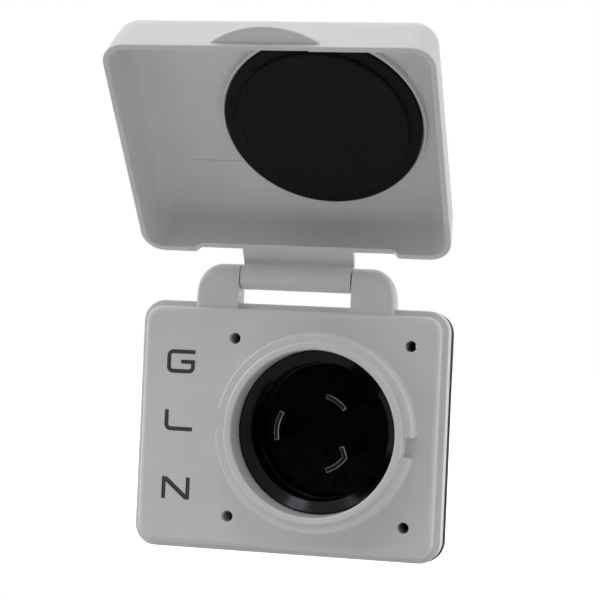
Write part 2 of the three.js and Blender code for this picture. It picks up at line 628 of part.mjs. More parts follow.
function terminalBlock() {
  const body = rodY(INLET_X, 0, CORE_R, BLOCK_Y, BLOCK_BACK_Y, ROUND);
  const wells = BLADES.map((blade) => radialBox(
    blade.angle, padInner(blade) - RUN, PAD_OUT + RUN, BLOCK_Y - CUT, BLOCK_BACK_Y + CUT, PAD_W + 2 * RUN));
  return cutAll(body, [...wells, ...blockScrewHoles(BLOCK_Y - CUT, BLOCK_BACK_Y + CUT)]);
}

function blockScrew(angle) {
  const [x, z] = onCircle(BLOCK_SCREW_R, angle);
  return screwY(BLOCK_SCREW, x, z, BLOCK_BACK_Y + GAP);
}

// ---- rear cover and cable clamp --------------------------------------------------------------
// The saddle hangs from the end of the cover and holds the cable from below.
function clampSaddle() {
  const half = CLAMP_SPAN / 2;
  const bottom = -(SADDLE_CUT_R - CUT + SADDLE_T);
  const web = SADDLE_T / 2 - CUT;
  const y1 = CLAMP_Y + CLAMP_LONG;
  const tongue = box(INLET_X - half, INLET_X + half, COVER_END_Y - CUT, y1, bottom, bottom + web);
  const block = box(INLET_X - half, INLET_X + half, CLAMP_Y, y1, bottom, bottom + SADDLE_T);
  return tongue.add(block);
}

function clampScrewPlaces() {
  return [-CLAMP_SCREW_X, CLAMP_SCREW_X].map((x) => [INLET_X + x, CLAMP_Y + CLAMP_LONG / 2]);
}

function clampScrewTop() {
  return SADDLE_CUT_R - CUT + CLAMP_BAR_T;
}

function rearCover() {
  const body = turned([
    [COVER_IN_R, COVER_Y], [FLANGE_R, COVER_Y], [FLANGE_R, COVER_Y + FLANGE_T],
    [COVER_OUT_R, COVER_Y + FLANGE_T], [COVER_OUT_R, COVER_END_Y - CUT], [COVER_OUT_R - CUT, COVER_END_Y],
    [CABLE_R + GROMMET_WALL + GAP, COVER_END_Y], [CABLE_R + GROMMET_WALL + GAP, COVER_END_Y - COVER_END_T],
    [COVER_IN_R, COVER_END_Y - COVER_END_T], [COVER_IN_R, COVER_Y],
  ]).add(clampSaddle());
  const holes = clampScrewPlaces().map(([x, y]) => rodZ(
    x, y, CLAMP_SCREW.shank + GAP, clampScrewTop() - CLAMP_SCREW.length - GAP, CABLE_R));
  const channel = rodY(INLET_X, 0, SADDLE_CUT_R, CLAMP_Y - CUT, CLAMP_Y + CLAMP_LONG + CUT, 2 * SMALL);
  return cutAll(body, [channel, ...holes, ...coverScrewHoles(COVER_Y - CUT, COVER_Y + FLANGE_T + CUT)]);
}

function cableClamp() {
  const half = CLAMP_SPAN / 2;
  const z = SADDLE_CUT_R - CUT - CUT;
  const bar = box(INLET_X - half, INLET_X + half, CLAMP_Y, CLAMP_Y + CLAMP_LONG, z, clampScrewTop() - GAP);
  const channel = rodY(INLET_X, 0, SADDLE_CUT_R, CLAMP_Y - CUT, CLAMP_Y + CLAMP_LONG + CUT, 2 * SMALL);
  const holes = clampScrewPlaces().map(([x, y]) => rodZ(x, y, CLAMP_SCREW.shank + GAP, 0, 2 * SADDLE_CUT_R));
  return cutAll(bar, [channel, ...holes]);
}

function cableGrommet() {
  const neck = CABLE_R + GROMMET_WALL;
  const lip = neck + GROMMET_LIP;
  const [y0, y1] = [COVER_END_Y - COVER_END_T - GAP, COVER_END_Y + GAP];
  return turned([
    [CABLE_R, y0 - GROMMET_LIP_T], [lip, y0 - GROMMET_LIP_T], [lip, y0], [neck, y0], [neck, y1],
    [lip, y1], [lip, y1 + GROMMET_LIP_T], [CABLE_R, y1 + GROMMET_LIP_T], [CABLE_R, y0 - GROMMET_LIP_T],
  ], 2 * SMALL);
}

function coverScrew(angle) {
  const [x, z] = onCircle(COVER_SCREW_R, angle);
  return screwY(COVER_SCREW, x, z, COVER_Y + FLANGE_T + GAP);
}

// ---- finishes ---------------------------------------------------------------------------------
function finish(color, roughness, metalness = 0) {
  return new THREE.MeshStandardMaterial({ color, roughness, metalness });
}

const WHITE_PLASTIC = finish(0xe8e8e6, 0.42);
const BLACK_NYLON = finish(0x0c0c0d, 0.3);
const GREY_PHENOLIC = finish(0x2a2a2c, 0.55);
const FOAM = finish(0x161616, 0.9);
const RUBBER = finish(0x1b1b1b, 0.7);
const NICKEL = finish(0xb9b4a8, 0.28, 1);
const STEEL = finish(0xa9abad, 0.35, 1);
const SCREW_FINISH = {
  line: finish(0xc49a4a, 0.3, 1), neutral: finish(0xc7c7c4, 0.3, 1), earth: finish(0x2f7a3a, 0.4, 1),
};

// ---- assembly ---------------------------------------------------------------------------------
function piece(name, body, material) {
  const { vertProperties, triVerts } = body.getMesh();
  const geometry = new THREE.BufferGeometry();
  geometry.setAttribute('position', new THREE.BufferAttribute(new Float32Array(vertProperties), 3));
  geometry.setIndex(new THREE.BufferAttribute(new Uint32Array(triVerts), 1));
  geometry.computeVertexNormals();
  const mesh = new THREE.Mesh(geometry, material);
  mesh.name = name;
  return mesh;
}

// Pieces that swing on the hinge, drawn shut and turned open about the hinge axis.
function hinged(meshes) {
  const swing = new THREE.Group();
  swing.position.set(0, HINGE_Y, HINGE_Z);
  swing.rotation.x = -rad(LID_OPEN);
  for (const mesh of meshes) {
    mesh.position.set(0, -HINGE_Y, -HINGE_Z);
    swing.add(mesh);
  }
  return swing;
}

const inletBox = new THREE.Group();
inletBox.add(
  piece('base_plate', basePlate(), WHITE_PLASTIC),
  piece('mounting_gasket', mountingGasket(), FOAM),
  hinged([piece('lid', lid(), WHITE_PLASTIC), piece('lid_seal', lidSeal(), RUBBER)]),
  piece('hinge_pin', hingePin(), STEEL),
  piece('sealing_ring', sealingRing(), RUBBER),
  piece('inlet_shell', inletShell(), BLACK_NYLON),
  piece('contact_carrier', contactCarrier(), GREY_PHENOLIC),
  piece('terminal_block', terminalBlock(), GREY_PHENOLIC),
  piece('rear_cover', rearCover(), BLACK_NYLON),
  piece('cable_grommet', cableGrommet(), RUBBER),
  piece('cable_clamp', cableClamp(), BLACK_NYLON),
);
for (const blade of BLADES) {
  inletBox.add(
    piece(`blade_${blade.name}`, bladePiece(blade), NICKEL),
    piece(`wire_clamp_${blade.name}`, clampPlate(blade), STEEL),
    piece(`terminal_screw_${blade.name}`, terminalScrew(blade), SCREW_FINISH[blade.name]),
  );
}
BLOCK_SCREW_ANGLES.forEach((angle, i) => {
  inletBox.add(piece(`block_screw_${i + 1}`, blockScrew(angle), STEEL));
});
COVER_SCREW_ANGLES.forEach((angle, i) => {
  inletBox.add(piece(`cover_screw_${i + 1}`, coverScrew(angle), STEEL));
});
clampScrewPlaces().forEach(([x, y], i) => {
  inletBox.add(piece(`clamp_screw_${i + 1}`, screwZ(CLAMP_SCREW, x, y, clampScrewTop()), STEEL));
});

export default inletBox;
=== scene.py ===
"""Looks of the generator inlet box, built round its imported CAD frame.

Sizes are in millimetres in the frame's own directions: X to the right, Z up, and the front of the
box towards -Y. Each piece is scaled to metres when it is dressed.
"""

from __future__ import annotations

import logging
import math
from dataclasses import dataclass
from enum import Enum
from typing import Any, Iterable, Sequence

import bmesh
import bpy
from mathutils import Matrix, Vector


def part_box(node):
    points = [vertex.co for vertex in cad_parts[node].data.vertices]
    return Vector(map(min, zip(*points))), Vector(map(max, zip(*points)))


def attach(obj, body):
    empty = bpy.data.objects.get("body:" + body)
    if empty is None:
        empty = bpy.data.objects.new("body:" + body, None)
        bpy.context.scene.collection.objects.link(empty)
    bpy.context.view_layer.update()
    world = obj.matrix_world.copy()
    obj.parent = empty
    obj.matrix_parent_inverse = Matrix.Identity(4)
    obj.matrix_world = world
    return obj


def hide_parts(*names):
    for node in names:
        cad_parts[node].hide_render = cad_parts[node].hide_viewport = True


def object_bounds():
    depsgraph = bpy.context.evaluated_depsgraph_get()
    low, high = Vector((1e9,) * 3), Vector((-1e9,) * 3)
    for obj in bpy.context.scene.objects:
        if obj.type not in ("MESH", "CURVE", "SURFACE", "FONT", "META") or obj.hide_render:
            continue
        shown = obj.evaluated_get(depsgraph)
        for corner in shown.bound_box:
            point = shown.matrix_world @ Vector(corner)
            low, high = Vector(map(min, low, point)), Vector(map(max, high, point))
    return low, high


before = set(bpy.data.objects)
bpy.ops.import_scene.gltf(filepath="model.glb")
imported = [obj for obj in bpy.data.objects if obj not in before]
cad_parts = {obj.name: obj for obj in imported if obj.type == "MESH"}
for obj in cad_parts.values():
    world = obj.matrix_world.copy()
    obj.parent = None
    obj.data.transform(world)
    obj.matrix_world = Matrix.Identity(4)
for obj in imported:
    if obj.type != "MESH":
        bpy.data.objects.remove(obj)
CAD_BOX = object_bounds()

log = logging.getLogger("inlet_box")

MM = 0.001
RING_BOX, PIN_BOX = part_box("sealing_ring"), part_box("hinge_pin")
INLET_X = (RING_BOX[0].x + RING_BOX[1].x) / 2 / MM
HINGE_Y, HINGE_Z = [(PIN_BOX[0][i] + PIN_BOX[1][i]) / 2 / MM for i in (1, 2)]
LID_OPEN = math.radians(136.5)  # from shut
SHARP = math.radians(38)  # faces that meet at more than this keep a hard edge

Point = tuple[float, float, float]
Flat = tuple[float, float]
Ring = list[bmesh.types.BMVert]
Rows = Sequence[tuple[Iterable[Flat], float]]
Piece = bpy.types.Object
Tree = bpy.types.NodeTree
Socket = bpy.types.NodeSocket

# A quarter turn about Z lays a turned part along X. One about X stands it up, its +Y end at the top.
ALONG_X = Matrix.Rotation(math.pi / 2, 4, "Z")
STOOD_UP = Matrix.Rotation(math.pi / 2, 4, "X")
ON_PIN = Matrix.Translation((0, HINGE_Y, HINGE_Z)) @ ALONG_X


class Join(Enum):
    """How one solid is joined with another."""

    ADD = "UNION"
    CUT = "DIFFERENCE"


class Body(Enum):
    """The CAD bodies that pieces ride on."""

    BOX = "box"
    LID = "lid"


# ---- outlines -----------------------------------------------------------------------------
def arc(centre: Flat, size: Flat, start: float, end: float, steps: int = 5) -> list[Flat]:
    """Points along part of an ellipse.

    Args:
        centre: Its middle.
        size: Its two half-widths.
        start: First angle in degrees.
        end: Last angle in degrees.
        steps: Stretches between the points.

    Returns:
        The points, both ends included.
    """
    turns = [math.radians(start + (end - start) * k / steps) for k in range(steps + 1)]
    return [(centre[0] + size[0] * math.cos(a), centre[1] + size[1] * math.sin(a)) for a in turns]


def circle(radius: float, centre: Flat = (0.0, 0.0), steps: int = 96) -> list[Flat]:
    """Outline of a circle, as arc() gives it but with no point twice."""
    return arc(centre, (radius, radius), 0, 360, steps)[:-1]


def rounded(width: float, height: float, radius: float, centre: Flat = (0.0, 0.0),
            steps: int = 9) -> list[Flat]:
    """Outline of a rounded rectangle.

    Args:
        width: Size across.
        height: Size up.
        radius: Radius of the corners.
        centre: Its middle.
        steps: Stretches round one corner.

    Returns:
        The points, from the right-hand side round by the top.
    """
    x, z = width / 2 - radius, height / 2 - radius
    points: list[Flat] = []
    for quarter, (sx, sz) in enumerate(((1, 1), (-1, 1), (-1, -1), (1, -1))):
        middle = (centre[0] + sx * x, centre[1] + sz * z)
        points += arc(middle, (radius, radius), 90 * quarter, 90 * quarter + 90, steps)
    return points


def ribbon(path: Sequence[Flat], half: float, trim: float = 0.0) -> list[Flat]:
    """Outline of a band of even width along a path.

    Args:
        path: Points down its middle.
        half: Half its width.
        trim: How far each end is drawn back.

    Returns:
        The outline, up one side and back down the other.
    """
    at = [Vector(p) for p in path]
    at[0] = at[0] + (at[1] - at[0]).normalized() * trim
    at[-1] = at[-1] + (at[-2] - at[-1]).normalized() * trim
    sides: list[list[Flat]] = [[], []]
    for i, p in enumerate(at):
        before = (p - at[i - 1]).normalized() if i else (at[1] - p).normalized()
        after = (at[i + 1] - p).normalized() if i + 1 < len(at) else before
        along = (before + after).normalized()
        out = Vector((-along.y, along.x)) * half / max(0.35, along.dot(before))
        sides[0].append(tuple(p + out))
        sides[1].append(tuple(p - out))
    return sides[0] + sides[1][::-1]


# ---- solids -------------------------------------------------------------------------------
class Solid:
    """A closed mesh in the making, in millimetres."""

    def __init__(self) -> None:
        """Starts with nothing."""
        self.bm = bmesh.new()

    def ring(self, outline: Iterable[Flat], y: float) -> Ring:
        """Adds the corners of an outline in X and Z at a depth."""
        return [self.bm.verts.new((x, y, z)) for x, z in outline]

    def band(self, first: Ring, second: Ring) -> None:
        """Joins two rings of one length with quads."""
        for i in range(len(first)):
            self.bm.faces.new((first[i - 1], first[i], second[i], second[i - 1]))

    def cap(self, ring: Ring) -> None:
        """Closes a ring with one flat face."""
        self.bm.faces.new(ring)

    def fill(self, *rings: Ring) -> None:
        """Fills the flat that lies between rings.

        Args:
            *rings: The outer edge of the flat, and the edges of its holes.
        """
        edges = []
        for ring in rings:
            for i in range(len(ring)):
                pair = (ring[i - 1], ring[i])
                edges.append(self.bm.edges.get(pair) or self.bm.edges.new(pair))
        bmesh.ops.triangle_fill(self.bm, use_beauty=True, use_dissolve=False, edges=edges)

    def loft(self, outlines: Rows) -> tuple[Ring, Ring]:
        """Skins a row of outlines at their depths.

        Args:
            outlines: Each outline with its depth.

        Returns:
            The first and the last ring.
        """
        rings = [self.ring(outline, y) for outline, y in outlines]
        for first, second in zip(rings, rings[1:]):
            self.band(first, second)
        return rings[0], rings[-1]

    def turn(self, profile: Sequence[Flat], centre: Flat, steps: int) -> tuple[Ring, Ring]:
        """Skins a profile of radius and depth turned about an axis along Y."""
        return self.loft([(circle(r, centre, steps), y) for r, y in profile])

    def made(self, name: str, place: Matrix | None = None) -> Piece:
        """Turns what was built into an object.

        Args:
            name: The object's name.
            place: Where it goes, if it isn't there already.

        Returns:
            The object, still in millimetres.
        """
        if place:
            bmesh.ops.transform(self.bm, matrix=place, verts=self.bm.verts)
        bmesh.ops.recalc_face_normals(self.bm, faces=self.bm.faces)
        mesh = bpy.data.meshes.new(name)
        self.bm.to_mesh(mesh)
        self.bm.free()
        made = bpy.data.objects.new(name, mesh)
        bpy.context.collection.objects.link(made)
        return made


def prism(outlines: Rows, place: Matrix | None = None) -> Piece:
    """A loft closed at both ends.

    Args:
        outlines: Each outline with its depth.
        place: Where it goes, if it isn't there already.

    Returns:
        The object.
    """
    body = Solid()
    for end in body.loft(outlines):
        body.cap(end)
    return body.made("tool", place)


def lathe(profile: Sequence[Flat], centre: Flat = (0.0, 0.0), steps: int = 96,
          place: Matrix | None = None) -> Piece:
    """A profile of radius and depth turned about an axis along Y, and closed at both ends."""
    return prism([(circle(r, centre, steps), y) for r, y in profile], place)


def loop_lathe(profile: Sequence[Flat], centre: Flat, steps: int = 128) -> Piece:
    """A ring, from a profile that closes on itself and is turned about an axis along Y.

    Args:
        profile: Its points, as radius and depth.
        centre: Where the axis stands.
        steps: Stretches round the ring.

    Returns:
        The object.
    """
    body = Solid()
    first, last = body.turn(profile, centre, steps)
    body.band(last, first)
    return body.made("tool")


def block(low: Point, high: Point, edge: float = 0.0, place: Matrix | None = None) -> Piece:
    """A block with its upright edges and its front rounded.

    Args:
        low: The corner with the least of each coordinate.
        high: The opposite corner.
        edge: Radius of the rounding.
        place: Where it goes, if it isn't there already.

    Returns:
        The object.
    """
    width, height = high[0] - low[0], high[2] - low[2]
    centre = ((low[0] + high[0]) / 2, (low[2] + high[2]) / 2)
    rows = [(edge - math.cos(a) * edge, low[1] + edge - math.sin(a) * edge)
            for a in (math.pi / 2, math.pi / 3, math.pi / 6, 0.0)] if edge else [(0.0, low[1])]
    rows.append((0.0, high[1]))
    outlines = [(rounded(width - 2 * i, height - 2 * i, max(edge, 0.01), centre, 3), y) for i, y in rows]
    return prism(outlines, place)


def combine(target: Piece, tool: Piece, how: Join) -> None:
    """Adds a tool to a target, or cuts it out of it, and removes the tool.

    Args:
        target: The object that is kept.
        tool: The object that is used up.
        how: The way they are joined.
    """
    step = target.modifiers.new("join", "BOOLEAN")
    step.operation, step.object, step.solver = how.value, tool, "EXACT"
    graph = bpy.context.evaluated_depsgraph_get()
    mesh = bpy.data.meshes.new_from_object(target.evaluated_get(graph))
    target.modifiers.clear()
    old, target.data = target.data, mesh
    bpy.data.meshes.remove(old)
    bpy.data.objects.remove(tool)


def about_hinge(angle: float) -> Matrix:
    """The turn about the hinge axis that takes the shut lid to an angle."""
    axis = Vector((0, HINGE_Y, HINGE_Z))
    return Matrix.Translation(axis) @ Matrix.Rotation(-angle, 4, "X") @ Matrix.Translation(-axis)


# ---- finishes -----------------------------------------------------------------------------
def linear(code: str) -> tuple[float, float, float, float]:
    """A colour given as sRGB hex, turned to linear with full opacity."""
    parts = [int(code[i:i + 2], 16) / 255 for i in (1, 3, 5)]
    return (*[c / 12.92 if c <= 0.04045 else ((c + 0.055) / 1.055) ** 2.4 for c in parts], 1.0)


def add(tree: Tree, kind: str, links: dict[str | int, Any] | None = None,
        **settings: Any) -> bpy.types.Node:
    """Adds a node with its settings and links.

    Args:
        tree: The node tree.
        kind: The node's type, without its prefix.
        links: For each input, a value or the output that it is linked from.
        **settings: The node's own settings.

    Returns:
        The node.
    """
    made = tree.nodes.new("ShaderNode" + kind)
    for name, value in settings.items():
        setattr(made, name, value)
    for name, value in (links or {}).items():
        if isinstance(value, Socket):
            tree.links.new(value, made.inputs[name])
        else:
            made.inputs[name].default_value = value
    return made


def ramp(tree: Tree, source: Socket, given: Flat, wanted: Flat) -> Socket:
    """Maps one range of a value to another, and keeps it within that."""
    return add(tree, "MapRange", {
        "Value": source, "From Min": given[0], "From Max": given[1],
        "To Min": wanted[0], "To Max": wanted[1],
    }).outputs["Result"]


DUST = "#6E6A64"
DUST_EVERY_MM = 7.0


@dataclass(frozen=True)
class Finish:
    """A surface with slow drift in its colour, a fine grain and an uneven polish.

    Attributes:
        name: What it is made of and how its surface was made.
        base: Main colour.
        drift: Colour that it wanders to.
        drift_mm: Size of those patches.
        roughness: Smoothest and roughest polish.
        grain_mm: Size of the grain.
        grain_deep_mm: Height of the grain.
        metallic: 1 for a metal.
        ior: Index of refraction.
        stretch: How much longer the pattern is along each axis.
        edge_mm: Radius that sharp edges catch the light with.
        specks: How strongly specks of dust cover what they lie on.
        specular: Strength of the reflection that isn't the metal's own.
    """

    name: str
    base: str
    drift: str
    drift_mm: float
    roughness: Flat
    grain_mm: float
    grain_deep_mm: float
    metallic: float = 0.0
    ior: float = 1.5
    stretch: Point = (1.0, 1.0, 1.0)
    edge_mm: float = 0.0
    specks: float = 0.0
    specular: float = 0.5

    def material(self) -> bpy.types.Material:
        """Makes the material, or finds it if a piece has had it already.

        Returns:
            The material.
        """
        made = bpy.data.materials.get(self.name)
        if made:
            return made
        made = bpy.data.materials.new(self.name)
        made.use_nodes = True
        tree = made.node_tree
        tree.nodes.clear()
        place = add(tree, "TexCoord").outputs["Object"]
        shrink = tuple(1 / s for s in self.stretch)
        at = add(tree, "Mapping", {"Vector": place, "Scale": shrink}).outputs["Vector"]
        slow = add(tree, "TexNoise", {
            "Vector": at, "Scale": 1 / (self.drift_mm * MM), "Detail": 4.0, "Roughness": 0.6,
        }).outputs["Fac"]
        colour = add(tree, "MixRGB", {
            "Fac": ramp(tree, slow, (0.35, 0.65), (0.0, 1.0)),
            "Color1": linear(self.base), "Color2": linear(self.drift),
        }).outputs["Color"]
        if self.specks:
            colour = self.dusted(tree, place, colour)
        smear = add(tree, "TexNoise", {
            "Vector": at, "Scale": 3 / (self.drift_mm * MM), "Detail": 6.0, "Roughness": 0.65,
        }).outputs["Fac"]
        lift = {"Height": self.grain(tree, at), "Distance": self.grain_deep_mm * MM, "Strength": 1.0}
        if self.edge_mm:
            soft = add(tree, "Bevel", {"Radius": self.edge_mm * MM}, samples=4)
            lift["Normal"] = soft.outputs["Normal"]
        bump = add(tree, "Bump", lift)
        skin = add(tree, "BsdfPrincipled", {
            "Base Color": colour, "Metallic": self.metallic, "IOR": self.ior,
            "Specular IOR Level": self.specular,
            "Roughness": ramp(tree, smear, (0.3, 0.7), self.roughness),
            "Normal": bump.outputs["Normal"],
        })
        add(tree, "OutputMaterial", {"Surface": skin.outputs["BSDF"]})
        return made

    def grain(self, tree: Tree, at: Socket) -> Socket:
        """Height of the fine grain, as an even noise."""
        return add(tree, "TexNoise", {
            "Vector": at, "Scale": 1 / (self.grain_mm * MM), "Detail": 3.0, "Roughness": 0.55,
        }).outputs["Fac"]

    def dusted(self, tree: Tree, place: Socket, colour: Socket) -> Socket:
        """Scatters grey specks of dust over a colour, each about half a millimetre wide.

        Args:
            tree: The node tree.
            place: Where on the piece, in metres.
            colour: The clean colour.

        Returns:
            The dusty colour.
        """
        cells = add(tree, "TexVoronoi", {"Vector": place, "Scale": 1 / (DUST_EVERY_MM * MM)})
        spot = ramp(tree, cells.outputs["Distance"], (0.02, 0.045), (self.specks, 0.0))
        return add(tree, "MixRGB", {
            "Fac": spot, "Color1": colour, "Color2": linear(DUST),
        }).outputs["Color"]


@dataclass(frozen=True)
class Cellular(Finish):
    """A finish whose grain is open cells, as foam has."""

    def grain(self, tree: Tree, at: Socket) -> Socket:
        """Height of the walls between the cells."""
        walls = add(tree, "TexVoronoi", {"Vector": at, "Scale": 1 / (self.grain_mm * MM)})
        return walls.outputs["Distance"]


# Weather-resistant ASA from a spark-eroded tool: near white, half gloss, with a faint fine grain.
WHITE_ASA = Finish("moulded_white_asa", "#E9E9E8", "#E4E4E2", 34, (0.33, 0.43), 0.35, 0.006,
                   ior=1.5, edge_mm=0.25, specks=0.35)
# Closed-cell EPDM foam, skived to thickness: dull slate grey with small open cells.
FOAM = Cellular("skived_epdm_foam", "#43444E", "#363740", 5, (0.85, 0.95), 0.5, 0.08, ior=1.45)
# Moulded EPDM rubber: black and dull, with a slight bloom that greys it in patches.
RUBBER = Finish("moulded_epdm_rubber", "#131313", "#171716", 18, (0.5, 0.62), 0.18, 0.006, ior=1.5,
                specular=0.15)
# Nylon from a polished tool: deep black and glossy, its polish a little uneven.
BLACK_NYLON = Finish("polished_black_nylon", "#040404", "#060606", 9, (0.1, 0.24), 0.8, 0.002,
                     ior=1.53, edge_mm=0.15, specular=0.22)
# The same nylon from an eroded tool for the parts behind the wall: black with a satin grain.
SATIN_NYLON = Finish("eroded_black_nylon", "#101011", "#171718", 14, (0.42, 0.55), 0.3, 0.012, ior=1.53)
# Pressed phenolic: dark grey with the specks of its wood flour.
PHENOLIC = Finish("pressed_phenolic", "#2B2B2D", "#363534", 1.2, (0.5, 0.6), 0.4, 0.01, ior=1.6)
# Nickel on stamped brass: warm bright metal with draw lines along the blade.
NICKEL = Finish("stamped_nickel_brass", "#C2BCAF", "#A29B8D", 3, (0.24, 0.42), 0.15, 0.004,
                metallic=1.0, stretch=(1.0, 12.0, 1.0))
# The same blade down in the cup, its colour painted near black as painted shade from the cup around it: a
# little duller, with a soft draw grain.
NICKEL_PAINTED_SHADE = Finish("nickel_brass_painted_shade", "#2B2925", "#1F1D1A", 3, (0.38, 0.55), 0.15, 0.004,
                 metallic=1.0, stretch=(1.0, 12.0, 1.0))
# The blade's sheared end, where the plating is thin: dull, with a torn grain, and its colour painted darker
# than the metal's as painted shade.
SHEARED = Finish("sheared_end_painted_shade", "#3A362F", "#2C2923", 1.2, (0.5, 0.7), 0.12, 0.02, metallic=1.0)
# Zinc-plated steel: pale grey metal, cloudy from the bright dip.
ZINC = Finish("bright_zinc_steel", "#B3B5B8", "#9C9A92", 2, (0.26, 0.44), 0.2, 0.004, metallic=1.0)
# Turned brass, for the line terminal's screw: warm yellow metal with a fine grain.
BRASS = Finish("turned_brass", "#C39B55", "#A98343", 2, (0.24, 0.38), 0.2, 0.004, metallic=1.0)
# Turned nickel silver, for the neutral terminal's screw: the same in a pale cool grey.
SILVERED = Finish("turned_nickel_silver", "#C9C8C4", "#AFAEA9", 2, (0.24, 0.38), 0.2, 0.004,
                  metallic=1.0)
# Lacquered steel, for the earth terminal's screw: green, with the metal showing faintly through.
GREEN = Finish("green_lacquered_steel", "#2C7438", "#3D8447", 1.5, (0.3, 0.45), 0.2, 0.004, metallic=0.6)
# Pad-printed ink: flat dark grey, a little thinner in patches.
INK = Finish("pad_printed_ink", "#3C3C40", "#49494D", 3, (0.5, 0.62), 0.2, 0.003, ior=1.48)


def dress(piece: Piece, name: str, finish: Finish, body: Body,
          stands_for: Sequence[str] = ()) -> Piece:
    """Scales a finished solid to metres and gives it its shading, finish and body.

    Args:
        piece: The solid, in millimetres.
        name: Its name in the scene.
        finish: Its surface.
        body: The CAD body that it moves with.
        stands_for: CAD nodes that it replaces.

    Returns:
        The piece.
    """
    piece.name = piece.data.name = name
    mesh = piece.data
    mesh.transform(Matrix.Scale(MM, 4))
    mesh.materials.clear()
    mesh.materials.append(finish.material())
    mesh.shade_smooth()
    mesh.set_sharp_from_angle(angle=SHARP)
    flat = piece.modifiers.new("flats", "WEIGHTED_NORMAL")
    flat.keep_sharp, flat.weight = True, 80
    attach(piece, body.value)
    if stands_for:
        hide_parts(*stands_for)
    log.info("%s: %d faces in %s", name, len(mesh.polygons), finish.name)
    return piece


# ---- flange -------------------------------------------------------------------------------
@dataclass
class Flange:
    """The white flange with its collar, hinge ears, foam gasket and printed marks."""

    width: float = 116.0
    height: float = 92.4
    corner: float = 8.0
    back: float = -3.8
    ledge_y: float = -10.7
    face_y: float = -16.3
    ledge: float = 2.2
    edge: Flat = (2.2, 2.0)  # rounding of the raised face, across and deep
    outer_edge: float = 0.5
    bore: float = 30.3
    lip: float = 33.0
    lip_y: float = -27.8
    collar: float = 36.4
    collar_y: float = -26.5
    broken: float = 0.8  # rounding of the collar's edges
    root: float = 0.5  # rounding where one step meets the next
    notch: float = 7.7
    notch_turn: float = -5.5
    pitch: float = 66.0
    hole: float = 2.05
    hole_edge: float = 0.25
    ear_gap: float = 42.6
    ear_span: float = 75.0
    ear_t: float = 9.4
    ear_corner: float = 9.5
    ear_edge: float = 1.8
    pin_bore: float = 1.8
    pin_seat: float = 32.6
    catch: Point = (15.0, 0.6, 1.5)  # half-width, height and thickness
    gasket_t: float = 3.5
    gasket_edge: float = 0.5
    gasket_over: Flat = (0.35, -0.35)  # how far it is shifted, right and up
    gasket_tab: Point = (1.0, 1.1, 0.04)  # a tab's inset, its corner's, and how thin it is drawn
    cutout: float = 38.5
    pierced: float = 0.7
    letter_x: Flat = (-46.7, -35.9)
    stroke: float = 1.5
    bend: float = 1.6
    ink_t: float = 0.05
    letters: tuple[tuple[str, float, float], ...] = (
        ("mark_ground", 23.5, 8.8), ("mark_line", 1.5, 7.8), ("mark_neutral", -23.7, 8.2))

    def holes(self) -> list[Flat]:
        """Centres of the four mounting screw holes."""
        half = self.pitch / 2
        return [(INLET_X + x, z) for x in (-half, half) for z in (-half, half)]

    def outline(self, inset: float) -> list[Flat]:
        """The flange's outline, drawn in all round."""
        return rounded(self.width - 2 * inset, self.height - 2 * inset, self.corner - inset, steps=12)

    def panel(self) -> Piece:
        """Skins the flange, its raised face and the collar in one.

        Returns:
            The panel.
        """
        e, (across, deep), r = self.outer_edge, self.edge, self.root
        rows = [(0.0, self.back)]
        rows += arc((e, self.ledge_y + e), (e, e), 180, 270)
        rows += arc((self.ledge - r / 2, self.ledge_y - r / 2), (r / 2, r / 2), 90, 0, 3)
        rows += arc((self.ledge + across, self.face_y + deep), (across, deep), 180, 270, 7)
        body = Solid()
        foot, face = body.loft([(self.outline(i), y) for i, y in rows])
        b = self.broken
        rise = arc((self.collar + r, self.face_y - r), (r, r), 90, 180, 4)
        rise += arc((self.collar - b, self.collar_y + b), (b, b), 0, -90)
        rise += arc((self.lip + r, self.collar_y - r), (r, r), 90, 180, 4)
        rise += arc((self.lip - b, self.lip_y + b), (b, b), 0, -90)
        rise += arc((self.bore + b, self.lip_y + b), (b, b), -90, -180)
        rise.append((self.bore, self.back))
        root, bore = body.turn(rise, (INLET_X, 0.0), 144)
        mouths, ends = [], []
        wide, start = self.hole + self.hole_edge, self.face_y + self.hole_edge
        for centre in self.holes():
            mouth, end = body.turn(
                [(wide, self.face_y), (self.hole, start), (self.hole, self.back)], centre, 32)
            mouths.append(mouth)
            ends.append(end)
        body.fill(face, root, *mouths)
        body.fill(foot, bore, *ends)
        return body.made("panel")

    def ear(self, side: int) -> Piece:
        """One hinge ear, its top round about the hinge axis and its outer corner well rounded.

        Args:
            side: 1 for the right-hand ear, -1 for the left.

        Returns:
            The ear.
        """
        inner, outer = self.ear_gap / 2, self.ear_span / 2
        top, foot = HINGE_Z + self.ear_t / 2, self.height / 2 - self.ledge - 1
        turn = outer - self.ear_corner
        # Each station is a place along X, with how far the inner end's soft edge draws it in.
        stations = [(inner, 0.35), (inner + 0.1, 0.1), (inner + 0.35, 0.0)]
        stations += [(turn + self.ear_corner * math.sin(math.radians(a)), None) for a in range(0, 91, 6)]
        body = Solid()
        rings = []
        for x, nib in stations:
            ease = self.ear_edge - max(0.0, x - (outer - self.ear_edge))
            front = 0.0 if ease >= self.ear_edge else self.ear_edge - math.sqrt(
                max(0.0, self.ear_edge ** 2 - (self.ear_edge - ease) ** 2))
            along = max(0.0, x - turn)
            drop = self.ear_corner - math.sqrt(max(0.0, self.ear_corner ** 2 - along ** 2))
            front, drop = (nib, nib) if nib is not None else (front, drop)
            near = self.back - self.ear_t + front
            r = (self.back - near) / 2
            crown = arc((self.back - r, top - drop - r), (r, r), 0, 180, 18)
            loop = [(self.back, foot), *crown, (near, foot)]
            rings.append([body.bm.verts.new((side * x, y, z)) for y, z in loop])
        for first, second in zip(rings, rings[1:]):
            body.band(first, second)
        body.cap(rings[0])
        body.cap(rings[-1])
        return body.made("ear")

